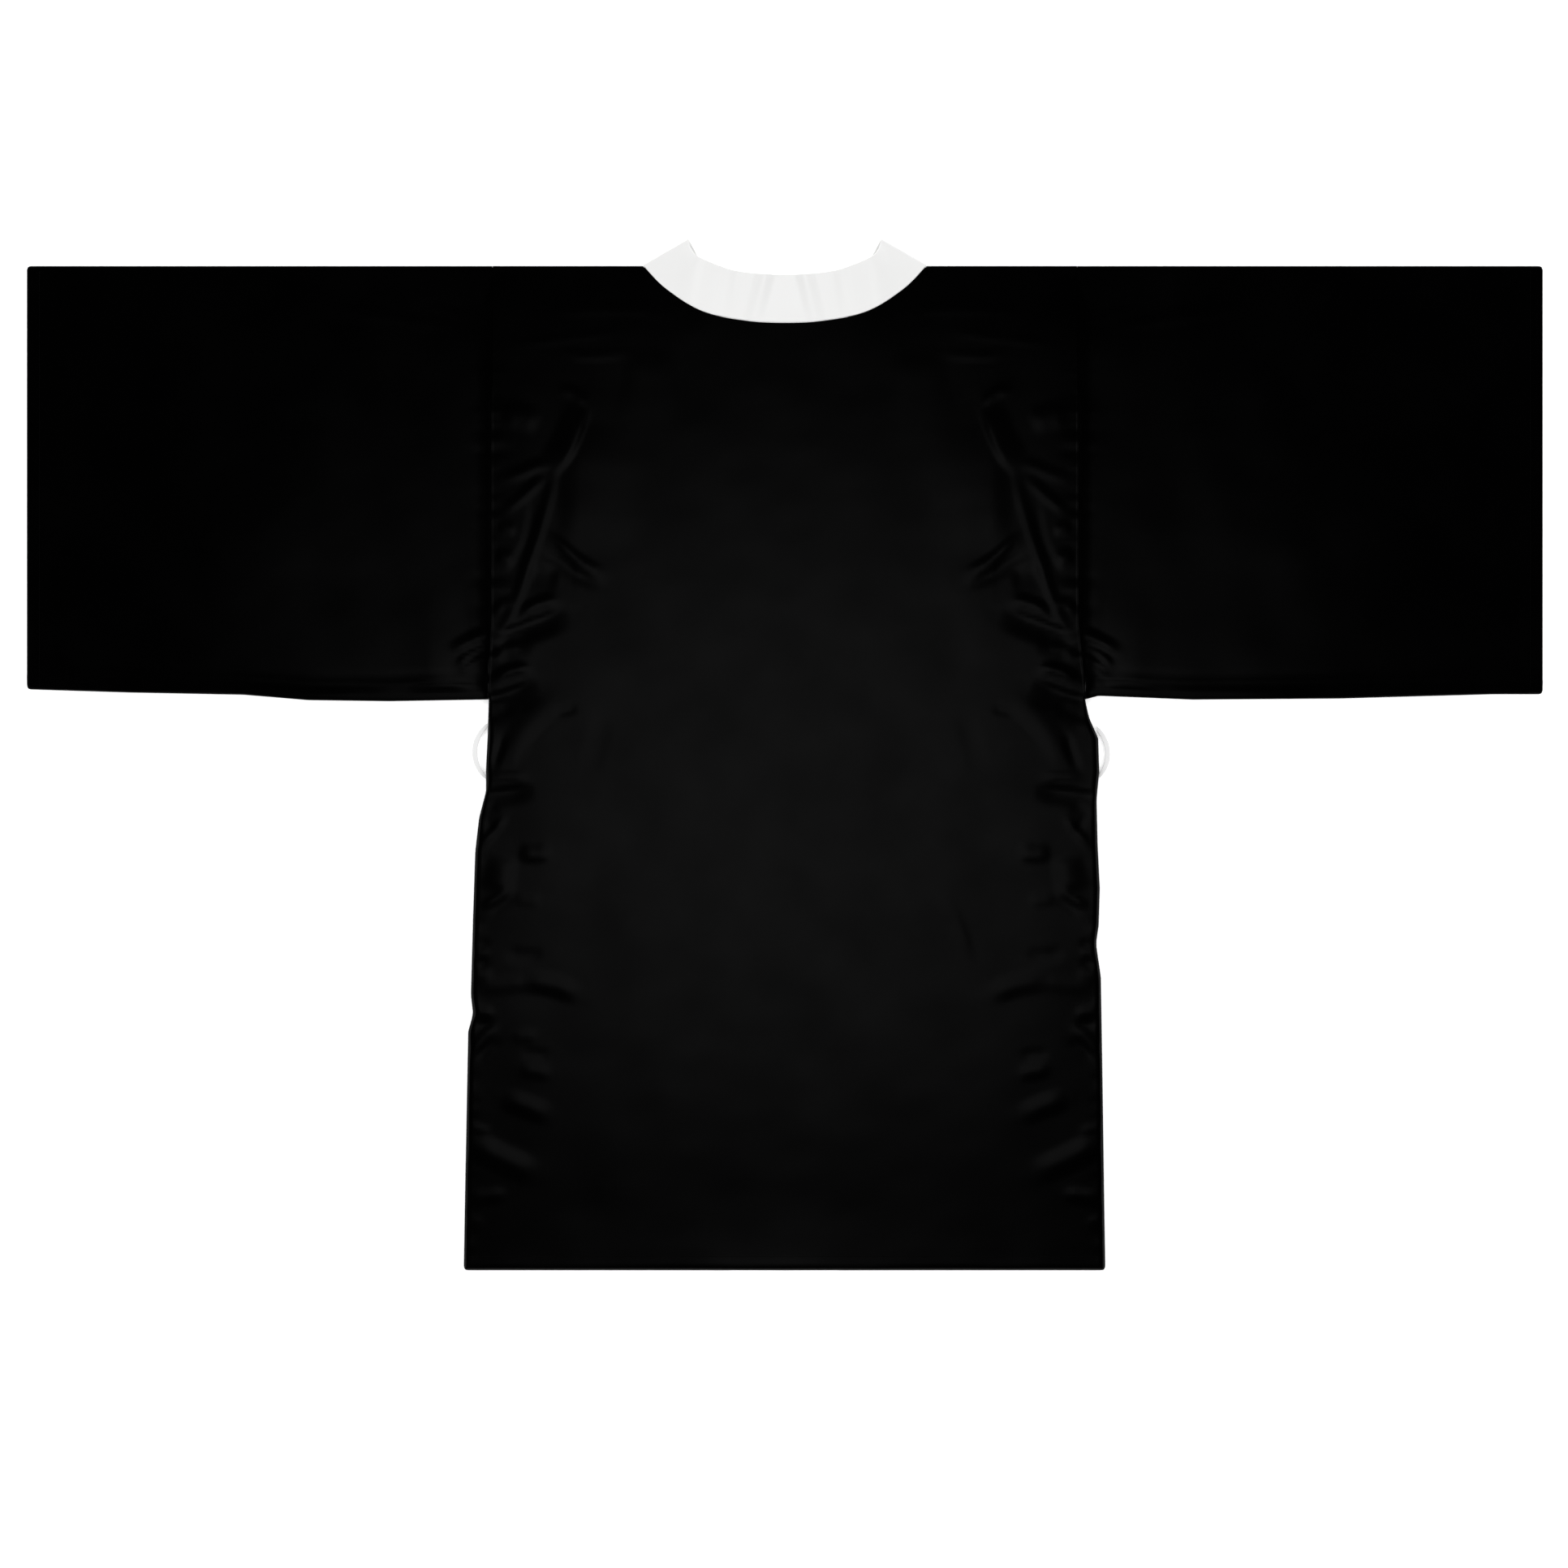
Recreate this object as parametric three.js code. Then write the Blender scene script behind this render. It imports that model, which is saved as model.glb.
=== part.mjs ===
// A short kimono robe of satin, laid out flat on its front, so that its back is uppermost.
// Millimetres. +X is the wearer's right, +Y runs from the hem to the collar and +Z is up.
// The origin lies on the surface that the robe rests on, below the middle of its outline.
//
// The robe is cut as a back, two fronts, two straight sleeves, one long collar band and two belt loops.
// Each piece is a cloth wall of its own, and neighbours stand a seam's gap apart.
// One height function gives the upper layer its loft and its folds, and the back and both sleeves follow it.

import * as THREE from "three";

// Cloth
const WALL = 1.2;
const SEAM_GAP = 0.3;
const EDGE_HEIGHT = 2 * WALL + SEAM_GAP; // top of the upper layer where it is sewn to the lower one
const LOFT = 2.3; // how far the upper layer rises above its sewn edges
const LOFT_RISE = 38; // over this distance from an edge

// Main sizes: places along X are distances from the middle, and both halves share them.
const CUFF_X = 700;
const CUFF_CORNER = 3; // the cuff's corners are rounded by this much
const ARMHOLE_X = 270; // the armhole seam runs straight down to a bend, and on to the underarm
const ARMHOLE_BEND_Y = 120;
const SHOULDER_Y = 451;
const UNDERARM_Y = 50;
const SLEEVES_ABOVE_Y = 46; // further out than the underarm, cloth above this is a sleeve's
const HEM_Y = -476.4;

// Side seams from the hem to the armhole. Each seam has pulled its own slight waves.
const SIDE_SEAMS = {
  left: [
    { y: -476.4, out: 296.5 },
    { y: -413, out: 295.5 },
    { y: -256, out: 292.5 },
    { y: -240, out: 288 },
    { y: -222, out: 290 },
    { y: -150, out: 288 },
    { y: -90, out: 286 },
    { y: -59, out: 282.5 },
    { y: -34, out: 276 },
    { y: -12, out: 276 },
    { y: 17, out: 274.5 },
    { y: 50, out: 273.5 },
  ],
  right: [
    { y: -476.4, out: 296 },
    { y: -300, out: 293.5 },
    { y: -206, out: 292 },
    { y: -175, out: 287.5 },
    { y: -158, out: 290 },
    { y: -124, out: 291 },
    { y: -83, out: 289 },
    { y: -42, out: 288 },
    { y: -16, out: 290.5 },
    { y: 15, out: 289.5 },
    { y: 34, out: 281 },
    { y: 50, out: 277.5 },
  ],
};

// Lower edges of the sleeves, from the armhole to the cuff.
const SLEEVE_EDGES = {
  left: [
    { out: 273, y: 50.6 },
    { out: 365, y: 49 },
    { out: 440, y: 50 },
    { out: 500, y: 55 },
    { out: 605, y: 57 },
    { out: 700, y: 60 },
  ],
  right: [
    { out: 277, y: 50.6 },
    { out: 290, y: 54 },
    { out: 377, y: 50.5 },
    { out: 512, y: 51.5 },
    { out: 655, y: 55.5 },
    { out: 700, y: 55.5 },
  ],
};

// The largest folds of the upper layer, alike on both halves. Each runs from one place over a bend to
// another, and places are [distance from the middle, y]. A ridge's height is positive and a hollow's negative.
// Width is from the crest to the foot.
const FOLDS = [
  { from: [188, 308], bend: [214, 252], to: [262, 112], height: 6, width: 17 }, // down to the armhole
  { from: [216, 206], bend: [197, 184], to: [164, 168], height: 4.2, width: 14 }, // off it towards the back
  { from: [190, 262], bend: [204, 232], to: [206, 205], height: -1.6, width: 16 }, // hollow beside it
  { from: [220, 266], bend: [246, 260], to: [268, 252], height: 3.2, width: 13 }, // branches to the armhole
  { from: [226, 256], bend: [240, 240], to: [262, 222], height: 3.2, width: 13 },
  { from: [248, 126], bend: [226, 139], to: [206, 146], height: 3.6, width: 13 }, // underarm folds
  { from: [262, 106], bend: [236, 116], to: [203, 132], height: 4, width: 14 },
  { from: [270, 62], bend: [252, 68], to: [232, 70], height: 4.2, width: 15 },
  { from: [266, 24], bend: [252, 44], to: [232, 56], height: -2, width: 15 },
  { from: [188, 49], bend: [224, 32], to: [252, -12], height: 4, width: 21 }, // sweep to the waist
  { from: [270, -26], bend: [252, -23], to: [230, -20], height: 3.8, width: 13 }, // waist folds
  { from: [266, -44], bend: [250, -42], to: [230, -39], height: -2, width: 14 },
  { from: [280, -82], bend: [268, -71], to: [260, -54], height: 4.2, width: 14 },
  { from: [250, -82], bend: [232, -80], to: [212, -82], height: 3.2, width: 16 }, // hip
  { from: [248, -101], bend: [232, -102], to: [216, -100], height: -2, width: 13 },
  { from: [282, -143], bend: [268, -135], to: [250, -124], height: 4, width: 14 },
  { from: [244, -198], bend: [215, -205], to: [188, -218], height: 4, width: 15 }, // thigh
  { from: [276, -221], bend: [238, -221], to: [190, -234], height: -2, width: 15 },
  { from: [286, -278], bend: [277, -262], to: [260, -249], height: 4.2, width: 15 },
  { from: [252, -284], bend: [234, -290], to: [212, -297], height: 2.8, width: 13 },
  { from: [268, -311], bend: [240, -319], to: [214, -329], height: 3.6, width: 14 },
  { from: [288, -345], bend: [266, -360], to: [228, -385], height: 5, width: 16 }, // above the hem
  { from: [280, -379], bend: [258, -389], to: [234, -399], height: -2, width: 15 },
  { from: [288, -404], bend: [272, -400], to: [254, -406], height: 3.6, width: 13 },
  { from: [208, 370], bend: [184, 365], to: [140, 371], height: 2.6, width: 15 }, // shoulder
  { from: [212, 388], bend: [170, 396], to: [122, 404], height: 2.2, width: 14 },
  { from: [276, 130], bend: [299, 104], to: [328, 90], height: 3.8, width: 15 }, // on the sleeve
  { from: [278, 97], bend: [294, 88], to: [308, 72], height: 3, width: 14 },
  { from: [286, 172], bend: [306, 116], to: [352, 80], height: -1.6, width: 17 },
  { from: [352, 80], bend: [470, 79], to: [560, 98], height: -1.6, width: 17 },
  { from: [284, 64], bend: [316, 66], to: [368, 60], height: 2.4, width: 13 },
];
const FOLD_START = -0.12; // a fold rises from this share of its length, counted past its end
const FOLD_FULL = 0.28; // and has its full height from this share on
const FOLD_EDGE_FADE = 14; // it dies away over this distance from a sewn edge
const SEAM_PULL = 0.5; // share of its height that the armhole seam takes away
const SEAM_PULL_REACH = 9;

// Neckline and collar band on the left half, from the shoulder fold to the middle of the back.
const NECK_SEAM = [[-130.5, 451], [-110, 430], [-76, 409], [-36, 400.5], [0, 398.5]];
const BAND_FREE_EDGE = [[-88.5, 475.3], [-86, 466], [-78, 458], [-50, 447], [-24, 443], [0, 442]];
// Middle line of the band down the left front, from the shoulder fold to the hem.
const FRONT_BAND_LINE = [
  [-109.5, 463.2], [-100, 445], [-86, 411], [-62, 341], [-40, 268], [-29, 195], [-26, 120], [-26, HEM_Y],
];
const BAND_WIDTH = 48;
const BAND_STAND = 4; // how far the band's free edge stands up at the middle of the back
// Soft creases across the band, as distances from the middle at its seam and at its free edge.
const BAND_CREASES = [
  { seam: 30, free: 18, height: 1.8, width: 13 },
  { seam: 94, free: 70, height: -1.2, width: 16 },
];

// Belt loops: narrow flat bands, bent to an arc, whose ends are caught in the side seams.
const LOOP_WIDTH = 5;
const LOOPS = [
  { name: "belt_loop_left", side: "left", top: 27, bottom: -21, bulge: 11 },
  { name: "belt_loop_right", side: "right", top: 24, bottom: -20, bulge: 9 },
];

// How finely the walls are divided
const SEAM_ROW_COUNTS = { body: 46, underarm: 6, armhole: 29 };
const FOLDED_IN_TO = 0.66; // the folds reach in to this share of the half width
const FOLDED_COLUMNS = 9;
const PLAIN_COLUMNS = [{ out: 162, rows: 40 }, { out: 144, rows: 20 }];
const NECK_ROWS = 12;
const NECK_STEPS = 20;
const FRONT_BAND_STEPS = 18;
const FRONT_BAND_CROWDING = 1.8; // puts more of those steps where the band turns
const BAND_ACROSS = [0, 1 / 3, 2 / 3, 1];
const SLEEVE_STATIONS = [0, 0.03, 0.06, 0.09, 0.125, 0.17, 0.23, 0.32, 0.43, 0.55, 0.68, 0.82, 0.985, 1];
const SLEEVE_ROW_COUNTS = { under: 2, underarm: 8, armhole: 15 };
const LOOP_STEPS = 14;
const PRESSED_FOLD = [-50, 0, 50].map(THREE.MathUtils.degToRad);
const BAND_FOLD = [30, 60, 90, 120, 150].map(THREE.MathUtils.degToRad);

// Materials
const BLACK_SATIN = new THREE.MeshStandardMaterial({ color: 0x0b0b0c, roughness: 0.42, metalness: 0 });
const WHITE_SATIN = new THREE.MeshStandardMaterial({ color: 0xf1f1f0, roughness: 0.38, metalness: 0 });

const SIGN = { left: -1, right: 1 };
const sideOf = (x) => (x < 0 ? "left" : "right");
const mix = THREE.MathUtils.lerp;
const smooth = THREE.MathUtils.smoothstep;
const bump = (share) => (share >= 1 ? 0 : (1 - share ** 2) ** 2);
const steps = (from, to, count) => Array.from({ length: count + 1 }, (_, i) => mix(from, to, i / count));

// A column of a table, at a place between its rows.
function lookUp(table, key, column, at) {
  const next = table.findIndex((row) => row[key] >= at);
  if (next === 0) return table[0][column];
  if (next < 0) return table.at(-1)[column];
  const [low, high] = [table[next - 1], table[next]];
  return mix(low[column], high[column], (at - low[key]) / (high[key] - low[key]));
}

const sleeveEdge = (side, out) => lookUp(SLEEVE_EDGES[side], "out", "y", out);
const underarmX = (side) => SIDE_SEAMS[side].at(-1).out;

// Half width of the body: to the side seam, and above the underarm to the armhole seam.
function bodyEdge(side, y) {
  if (y <= UNDERARM_Y) return lookUp(SIDE_SEAMS[side], "y", "out", y);
  return mix(underarmX(side), ARMHOLE_X, Math.min(1, (y - UNDERARM_Y) / (ARMHOLE_BEND_Y - UNDERARM_Y)));
}

// Distance from a place on the upper layer to the nearest edge where it lies on the lower layer.
function edgeDistance(x, y) {
  const [side, out] = [sideOf(x), Math.abs(x)];
  const pastNeck = Math.max(0, -NECK_SEAM[0][0] - out);
  const shoulder = Math.hypot(pastNeck, SHOULDER_Y - y);
  let seam = bodyEdge(side, y) - out;
  if (out > underarmX(side) && y > SLEEVES_ABOVE_Y) seam = y - sleeveEdge(side, out);
  else if (y > UNDERARM_Y) seam = Math.hypot(underarmX(side) - out, y - UNDERARM_Y);
  return Math.max(0, Math.min(shoulder, seam, CUFF_X - out, y - HEM_Y));
}

// Height that a fold adds at a place: a rounded ridge along its line, fading towards both ends.
function foldHeight({ from, bend, to, height, width }, out, y) {
  const place = new THREE.Vector2(out, y);
  const parts = [[from, bend], [bend, to]].map((ends) => ends.map(([u, v]) => new THREE.Vector2(u, v)));
  const lengths = parts.map(([a, b]) => a.distanceTo(b));
  const whole = lengths[0] + lengths[1];
  let [distance, share] = [Infinity, 0];
  parts.forEach(([a, b], i) => {
    const direction = b.clone().sub(a).normalize();
    const along = THREE.MathUtils.clamp(place.clone().sub(a).dot(direction), 0, lengths[i]);
    const apart = place.distanceTo(a.clone().addScaledVector(direction, along));
    if (apart < distance) [distance, share] = [apart, (i * lengths[0] + along) / whole];
  });
  const ends = smooth(share, FOLD_START, FOLD_FULL) * smooth(1 - share, FOLD_START, FOLD_FULL);
  return height * ends * bump(distance / width);
}

// Height of the upper layer's outer face.
function clothTop(x, y) {
  const [side, out] = [sideOf(x), Math.abs(x)];
  const edge = edgeDistance(x, y);
  const folds = FOLDS.reduce((sum, fold) => sum + foldHeight(fold, out, y), 0);
  const fromSeam = (out - bodyEdge(side, y)) / SEAM_PULL_REACH;
  const pulled = y > UNDERARM_Y ? SEAM_PULL * Math.exp(-(fromSeam ** 2)) : 0;
  const loft = LOFT * Math.sin((Math.PI / 2) * Math.min(1, edge / LOFT_RISE));
  return EDGE_HEIGHT + Math.max(0, loft + folds * (1 - pulled) * smooth(edge, 0, FOLD_EDGE_FADE));
}

// Height of the upper layer's inner face: a wall's thickness in, and clear of the layer below.
function clothBottom(x, y) {
  const slopeX = (clothTop(x + 1, y) - clothTop(x - 1, y)) / 2;
  const slopeY = (clothTop(x, y + 1) - clothTop(x, y - 1)) / 2;
  return Math.max(WALL + SEAM_GAP, clothTop(x, y) - WALL * Math.hypot(1, slopeX, slopeY));
}

// A solid from points and triangles, its faces turned outwards.
function solid(points, triangles) {
  const corners = points.map((point) => new THREE.Vector3(...point));
  const volume = triangles.reduce(
    (sum, [a, b, c]) => sum + corners[a].dot(new THREE.Vector3().crossVectors(corners[b], corners[c])),
    0,
  );
  const turned = volume < 0 ? triangles.map(([a, b, c]) => [a, c, b]) : triangles;
  const geometry = new THREE.BufferGeometry();
  geometry.setAttribute("position", new THREE.Float32BufferAttribute(points.flat(), 3));
  geometry.setIndex(turned.flat());
  geometry.computeVertexNormals();
  return geometry;
}

// A wall between an upper and a lower face, from columns of places that run up the cloth.
// Neighbouring columns may have different numbers of places: the strip between them takes the lower one next.
function wallFromColumns(columns) {
  const points = [];
  const triangles = [];
  const numbered = columns.map((column) =>
    column.map(({ x, y }) => {
      points.push([x, y, clothTop(x, y)], [x, y, clothBottom(x, y)]);
      return { y, top: points.length - 2, bottom: points.length - 1 };
    }),
  );
  const rim = (a, b) => triangles.push([a.top, b.top, b.bottom], [a.top, b.bottom, a.bottom]);
  const strip = (a, b) => {
    let [i, j] = [0, 0];
    while (i < a.length - 1 || j < b.length - 1) {
      const onLeft = j === b.length - 1 || (i < a.length - 1 && a[i].y + a[i + 1].y < b[j].y + b[j + 1].y);
      const next = onLeft ? a[i + 1] : b[j + 1];
      triangles.push([a[i].top, b[j].top, next.top], [a[i].bottom, next.bottom, b[j].bottom]);
      if (onLeft) i++;
      else j++;
    }
    rim(b[0], a[0]);
    rim(a.at(-1), b.at(-1));
  };
  const [first, last] = [numbered[0], numbered.at(-1)];
  numbered.slice(1).forEach((column, i) => strip(numbered[i], column));
  first.slice(1).forEach((place, i) => rim(first[i], place));
  last.slice(1).forEach((place, i) => rim(place, last[i]));
  return solid(points, triangles);
}

// A wall round a hollow, from rings that each hold an outer and an inner loop with as many points.
function wallFromRings(rings) {
  const triangles = [];
  const count = rings[0].outer.length;
  const points = rings.flatMap(({ outer, inner }) => [...outer, ...inner]);
  const outerAt = (ring, i) => 2 * ring * count + (i % count);
  const innerAt = (ring, i) => outerAt(ring, i) + count;
  const face = (a, b, c, d) => triangles.push([a, b, c], [a, c, d]);
  const end = rings.length - 1;
  for (let i = 0; i < count; i++) {
    for (let ring = 0; ring < end; ring++) {
      face(outerAt(ring, i), outerAt(ring, i + 1), outerAt(ring + 1, i + 1), outerAt(ring + 1, i));
      face(innerAt(ring, i + 1), innerAt(ring, i), innerAt(ring + 1, i), innerAt(ring + 1, i + 1));
    }
    face(outerAt(0, i + 1), outerAt(0, i), innerAt(0, i), innerAt(0, i + 1));
    face(outerAt(end, i), outerAt(end, i + 1), innerAt(end, i + 1), innerAt(end, i));
  }
  return solid(points, triangles);
}

// A band from sections, each a loop with its outer points first and its inner points back again.
function bandFromSections(sections) {
  const count = sections[0].length;
  const triangles = [];
  const face = (a, b, c, d) => triangles.push([a, b, c], [a, c, d]);
  for (let first = 0; first < (sections.length - 1) * count; first += count) {
    for (let i = 0; i < count; i++) {
      const [a, b] = [first + i, first + ((i + 1) % count)];
      face(a, b, b + count, a + count);
    }
  }
  const end = (sections.length - 1) * count;
  for (let i = 0; i < count / 2 - 1; i++) {
    const back = count - 1 - i;
    face(back, back - 1, i + 1, i);
    face(end + i, end + i + 1, end + back - 1, end + back);
  }
  return solid(sections.flat(), triangles);
}

// Curves round the back of the neck, from the left shoulder fold to the right one.
function acrossNeck(leftHalf) {
  const rightHalf = leftHalf.slice(0, -1).reverse().map(([x, y]) => [-x, y]);
  const curve = new THREE.SplineCurve([...leftHalf, ...rightHalf].map(([x, y]) => new THREE.Vector2(x, y)));
  return steps(0, 1, NECK_STEPS).map((t) => curve.getPointAt(t));
}

const neckSeam = acrossNeck(NECK_SEAM);
const bandFreeEdge = acrossNeck(BAND_FREE_EDGE);

// Sections down the left front's band: its seam edge, and its free edge towards the middle.
function downFront() {
  const line = new THREE.CatmullRomCurve3(FRONT_BAND_LINE.map(([x, y]) => new THREE.Vector3(x, y, 0)));
  return steps(0, 1, FRONT_BAND_STEPS).map((t) => {
    if (t === 0) return { seam: NECK_SEAM[0], free: BAND_FREE_EDGE[0] };
    const share = t ** FRONT_BAND_CROWDING;
    const [middle, along] = [line.getPointAt(share), line.getTangentAt(share)];
    const reach = BAND_WIDTH / 2;
    if (t === 1) return { seam: [middle.x - reach, HEM_Y], free: [middle.x + reach, HEM_Y] };
    return {
      seam: [middle.x + along.y * reach, middle.y - along.x * reach],
      free: [middle.x - along.y * reach, middle.y + along.x * reach],
    };
  });
}

const frontBand = downFront();

// Rows along the side and armhole seams, the same on the back and the fronts.
const SEAM_ROWS = [
  ...steps(HEM_Y, UNDERARM_Y, SEAM_ROW_COUNTS.body),
  ...steps(UNDERARM_Y, ARMHOLE_BEND_Y, SEAM_ROW_COUNTS.underarm).slice(1),
  ...steps(ARMHOLE_BEND_Y, SHOULDER_Y, SEAM_ROW_COUNTS.armhole).slice(1),
];
const panelEdge = (side, y) => bodyEdge(side, y) - (y >= UNDERARM_Y ? SEAM_GAP / 2 : 0);

// Back: its columns stand close together over the folds at the sides, and apart across the plain middle.
function backPanel() {
  const column = (rows, outAt) => rows.map((y) => ({ x: outAt(y), y }));
  const half = (side) => {
    const outward = (share) => (y) => SIGN[side] * share * panelEdge(side, y);
    const folded = steps(1, FOLDED_IN_TO, FOLDED_COLUMNS).map((share) => column(SEAM_ROWS, outward(share)));
    const plain = PLAIN_COLUMNS.map(({ out, rows }) =>
      column(steps(HEM_Y, SHOULDER_Y, rows), () => SIGN[side] * out),
    );
    return [...folded, ...plain];
  };
  const belowBand = SEAM_GAP * Math.SQRT2;
  const neck = neckSeam.map(({ x, y }) => column(steps(HEM_Y, y - belowBand, NECK_ROWS), () => x));
  return wallFromColumns([...half("left"), ...neck, ...half("right").reverse()]);
}

// Front: a flat wall under one half of the back, cut away along the collar band.
function frontPanel(side) {
  const seamSide = SEAM_ROWS.map((y) => [panelEdge(side, y), y]);
  const bandSide = frontBand.map(({ seam }) => [-seam[0] + SEAM_GAP, Math.min(seam[1], SHOULDER_Y)]);
  const outline = [...seamSide, ...bandSide].map(([out, y]) => new THREE.Vector2(SIGN[side] * out, y));
  return new THREE.ExtrudeGeometry(new THREE.Shape(outline), { depth: WALL, bevelEnabled: false });
}

// Sleeve: a straight tube pressed flat, folded along its top, seamed along its bottom and open at both ends.
function sleeve(side) {
  const foldRadius = EDGE_HEIGHT / 2;
  const rings = SLEEVE_STATIONS.map((share) => {
    const xAt = (y) => SIGN[side] * mix(bodyEdge(side, y) + SEAM_GAP / 2, CUFF_X, share);
    const rounding = share === 1 ? CUFF_CORNER : 0;
    const high = SHOULDER_Y - rounding - foldRadius;
    const low = sleeveEdge(side, Math.abs(xAt(UNDERARM_Y))) + rounding + foldRadius;
    const round = (y, outwards, r) => (angle) => {
      return [xAt(y), y + outwards * r * Math.cos(angle), foldRadius + r * Math.sin(angle)];
    };
    const under = [low, ...steps(ARMHOLE_BEND_Y, high, SLEEVE_ROW_COUNTS.under)];
    const over = [
      ...steps(high, ARMHOLE_BEND_Y, SLEEVE_ROW_COUNTS.armhole),
      ...steps(ARMHOLE_BEND_Y, low, SLEEVE_ROW_COUNTS.underarm).slice(1),
    ];
    const loop = (r, heightOf) => [
      ...under.map((y) => [xAt(y), y, foldRadius - r]),
      ...PRESSED_FOLD.map(round(high, 1, r)),
      ...over.map((y) => [xAt(y), y, heightOf(xAt(y), y)]),
      ...PRESSED_FOLD.toReversed().map(round(low, -1, r)),
    ];
    return { outer: loop(foldRadius, clothTop), inner: loop(foldRadius - WALL, clothBottom) };
  });
  return wallFromRings(rings);
}

// One section of the collar band, from its seam to its free edge. The normal points out of its outer face.
function bandSection(seam, free, heightOf, normal) {
  const point = (across, face) => {
    const middle = [mix(seam[0], free[0], across), mix(seam[1], free[1], across), heightOf(across)];
    return middle.map((value, axis) => value + (normal[axis] * face * WALL) / 2);
  };
  const outer = BAND_ACROSS.map((across) => point(across, 1));
  const inner = BAND_ACROSS.map((across) => point(across, -1));
  return [...outer, ...inner.reverse()];
}

function bandCreases(x, across) {
  return BAND_CREASES.reduce((sum, { seam, free, height, width }) => {
    return sum + height * across * bump(Math.abs(Math.abs(x) - mix(seam, free, across)) / width);
  }, 0);
}

// Collar band: one strip, up a front from the hem, folded over at the shoulder, round the back of the neck,
// and down the other front.
function collarBand() {
  const [underneath, uppermost] = [WALL / 2, EDGE_HEIGHT - WALL / 2];
  const turnRadius = (uppermost - underneath) / 2;
  const [seamEnd, freeEnd] = [NECK_SEAM[0], BAND_FREE_EDGE[0]];
  const foldAngle = Math.atan2(freeEnd[1] - seamEnd[1], freeEnd[0] - seamEnd[0]);
  const pastFold = [-Math.sin(foldAngle), Math.cos(foldAngle)];

  const front = frontBand.map(({ seam, free }) => bandSection(seam, free, () => underneath, [0, 0, -1]));
  const turn = BAND_FOLD.map((angle) => {
    const shifted = ([x, y]) => [
      x + pastFold[0] * turnRadius * Math.sin(angle),
      y + pastFold[1] * turnRadius * Math.sin(angle),
    ];
    const height = underneath + turnRadius * (1 - Math.cos(angle));
    const normal = [pastFold[0] * Math.sin(angle), pastFold[1] * Math.sin(angle), -Math.cos(angle)];
    return bandSection(shifted(seamEnd), shifted(freeEnd), () => height, normal);
  });
  const neck = neckSeam.map((seam, i) => {
    const free = bandFreeEdge[i];
    const atSeam = clothTop(seam.x, seam.y - SEAM_GAP) - WALL / 2;
    const stand = BAND_STAND * Math.sin((Math.PI * i) / NECK_STEPS);
    const heightOf = (across) => atSeam + stand * across + bandCreases(mix(seam.x, free.x, across), across);
    return bandSection([seam.x, seam.y], [free.x, free.y], heightOf, [0, 0, 1]);
  });
  const left = [...front.reverse(), ...turn];
  const right = left.map((section) => section.map(([x, y, z]) => [-x, y, z])).reverse();
  return bandFromSections([...left, ...neck, ...right]);
}

// Belt loop: a flat arc beside the body, both of its ends a seam's gap from the side seam.
function beltLoop({ side, top, bottom, bulge }) {
  const reach = (top - bottom) / 2;
  const radius = (reach ** 2 + bulge ** 2) / (2 * bulge);
  const toCentre = radius - bulge;
  const rowEdges = SEAM_ROWS.map((y) => ({ y, out: panelEdge(side, y) }));
  const seatAt = (y) => {
    const beside = [-1, 0, 1].map((end) => lookUp(rowEdges, "y", "out", y + end * LOOP_WIDTH));
    return Math.max(...beside) + SEAM_GAP;
  };
  const [topSeat, bottomSeat] = [seatAt(top), seatAt(bottom)];
  const edgePoint = (edgeRadius, t) => {
    const widest = Math.acos(toCentre / edgeRadius);
    const angle = mix(widest, -widest, t);
    const out = mix(topSeat, bottomSeat, t) - toCentre + edgeRadius * Math.cos(angle);
    return [SIGN[side] * out, (top + bottom) / 2 + edgeRadius * Math.sin(angle)];
  };
  const sections = steps(0, 1, LOOP_STEPS).map((t) => {
    const inner = edgePoint(radius - LOOP_WIDTH / 2, t);
    const outer = edgePoint(radius + LOOP_WIDTH / 2, t);
    return [[...inner, WALL], [...outer, WALL], [...outer, 0], [...inner, 0]];
  });
  return bandFromSections(sections);
}

const robe = new THREE.Group();
function add(name, geometry, material) {
  const mesh = new THREE.Mesh(geometry, material);
  mesh.name = name;
  robe.add(mesh);
}

add("back_panel", backPanel(), BLACK_SATIN);
for (const side of ["left", "right"]) {
  add(`front_${side}`, frontPanel(side), BLACK_SATIN);
  add(`sleeve_${side}`, sleeve(side), BLACK_SATIN);
}
add("collar_band", collarBand(), WHITE_SATIN);
for (const loop of LOOPS) add(loop.name, beltLoop(loop), WHITE_SATIN);

export default robe;
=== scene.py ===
# A short kimono robe of black satin with a white satin collar band, laid flat on its front.
# Sizes are millimetres until a mesh is made. +X is the wearer's right and +Y runs towards the collar.
# Both halves share one table of creases, whose places are [distance from the middle, y].

import math
from collections import namedtuple

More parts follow.
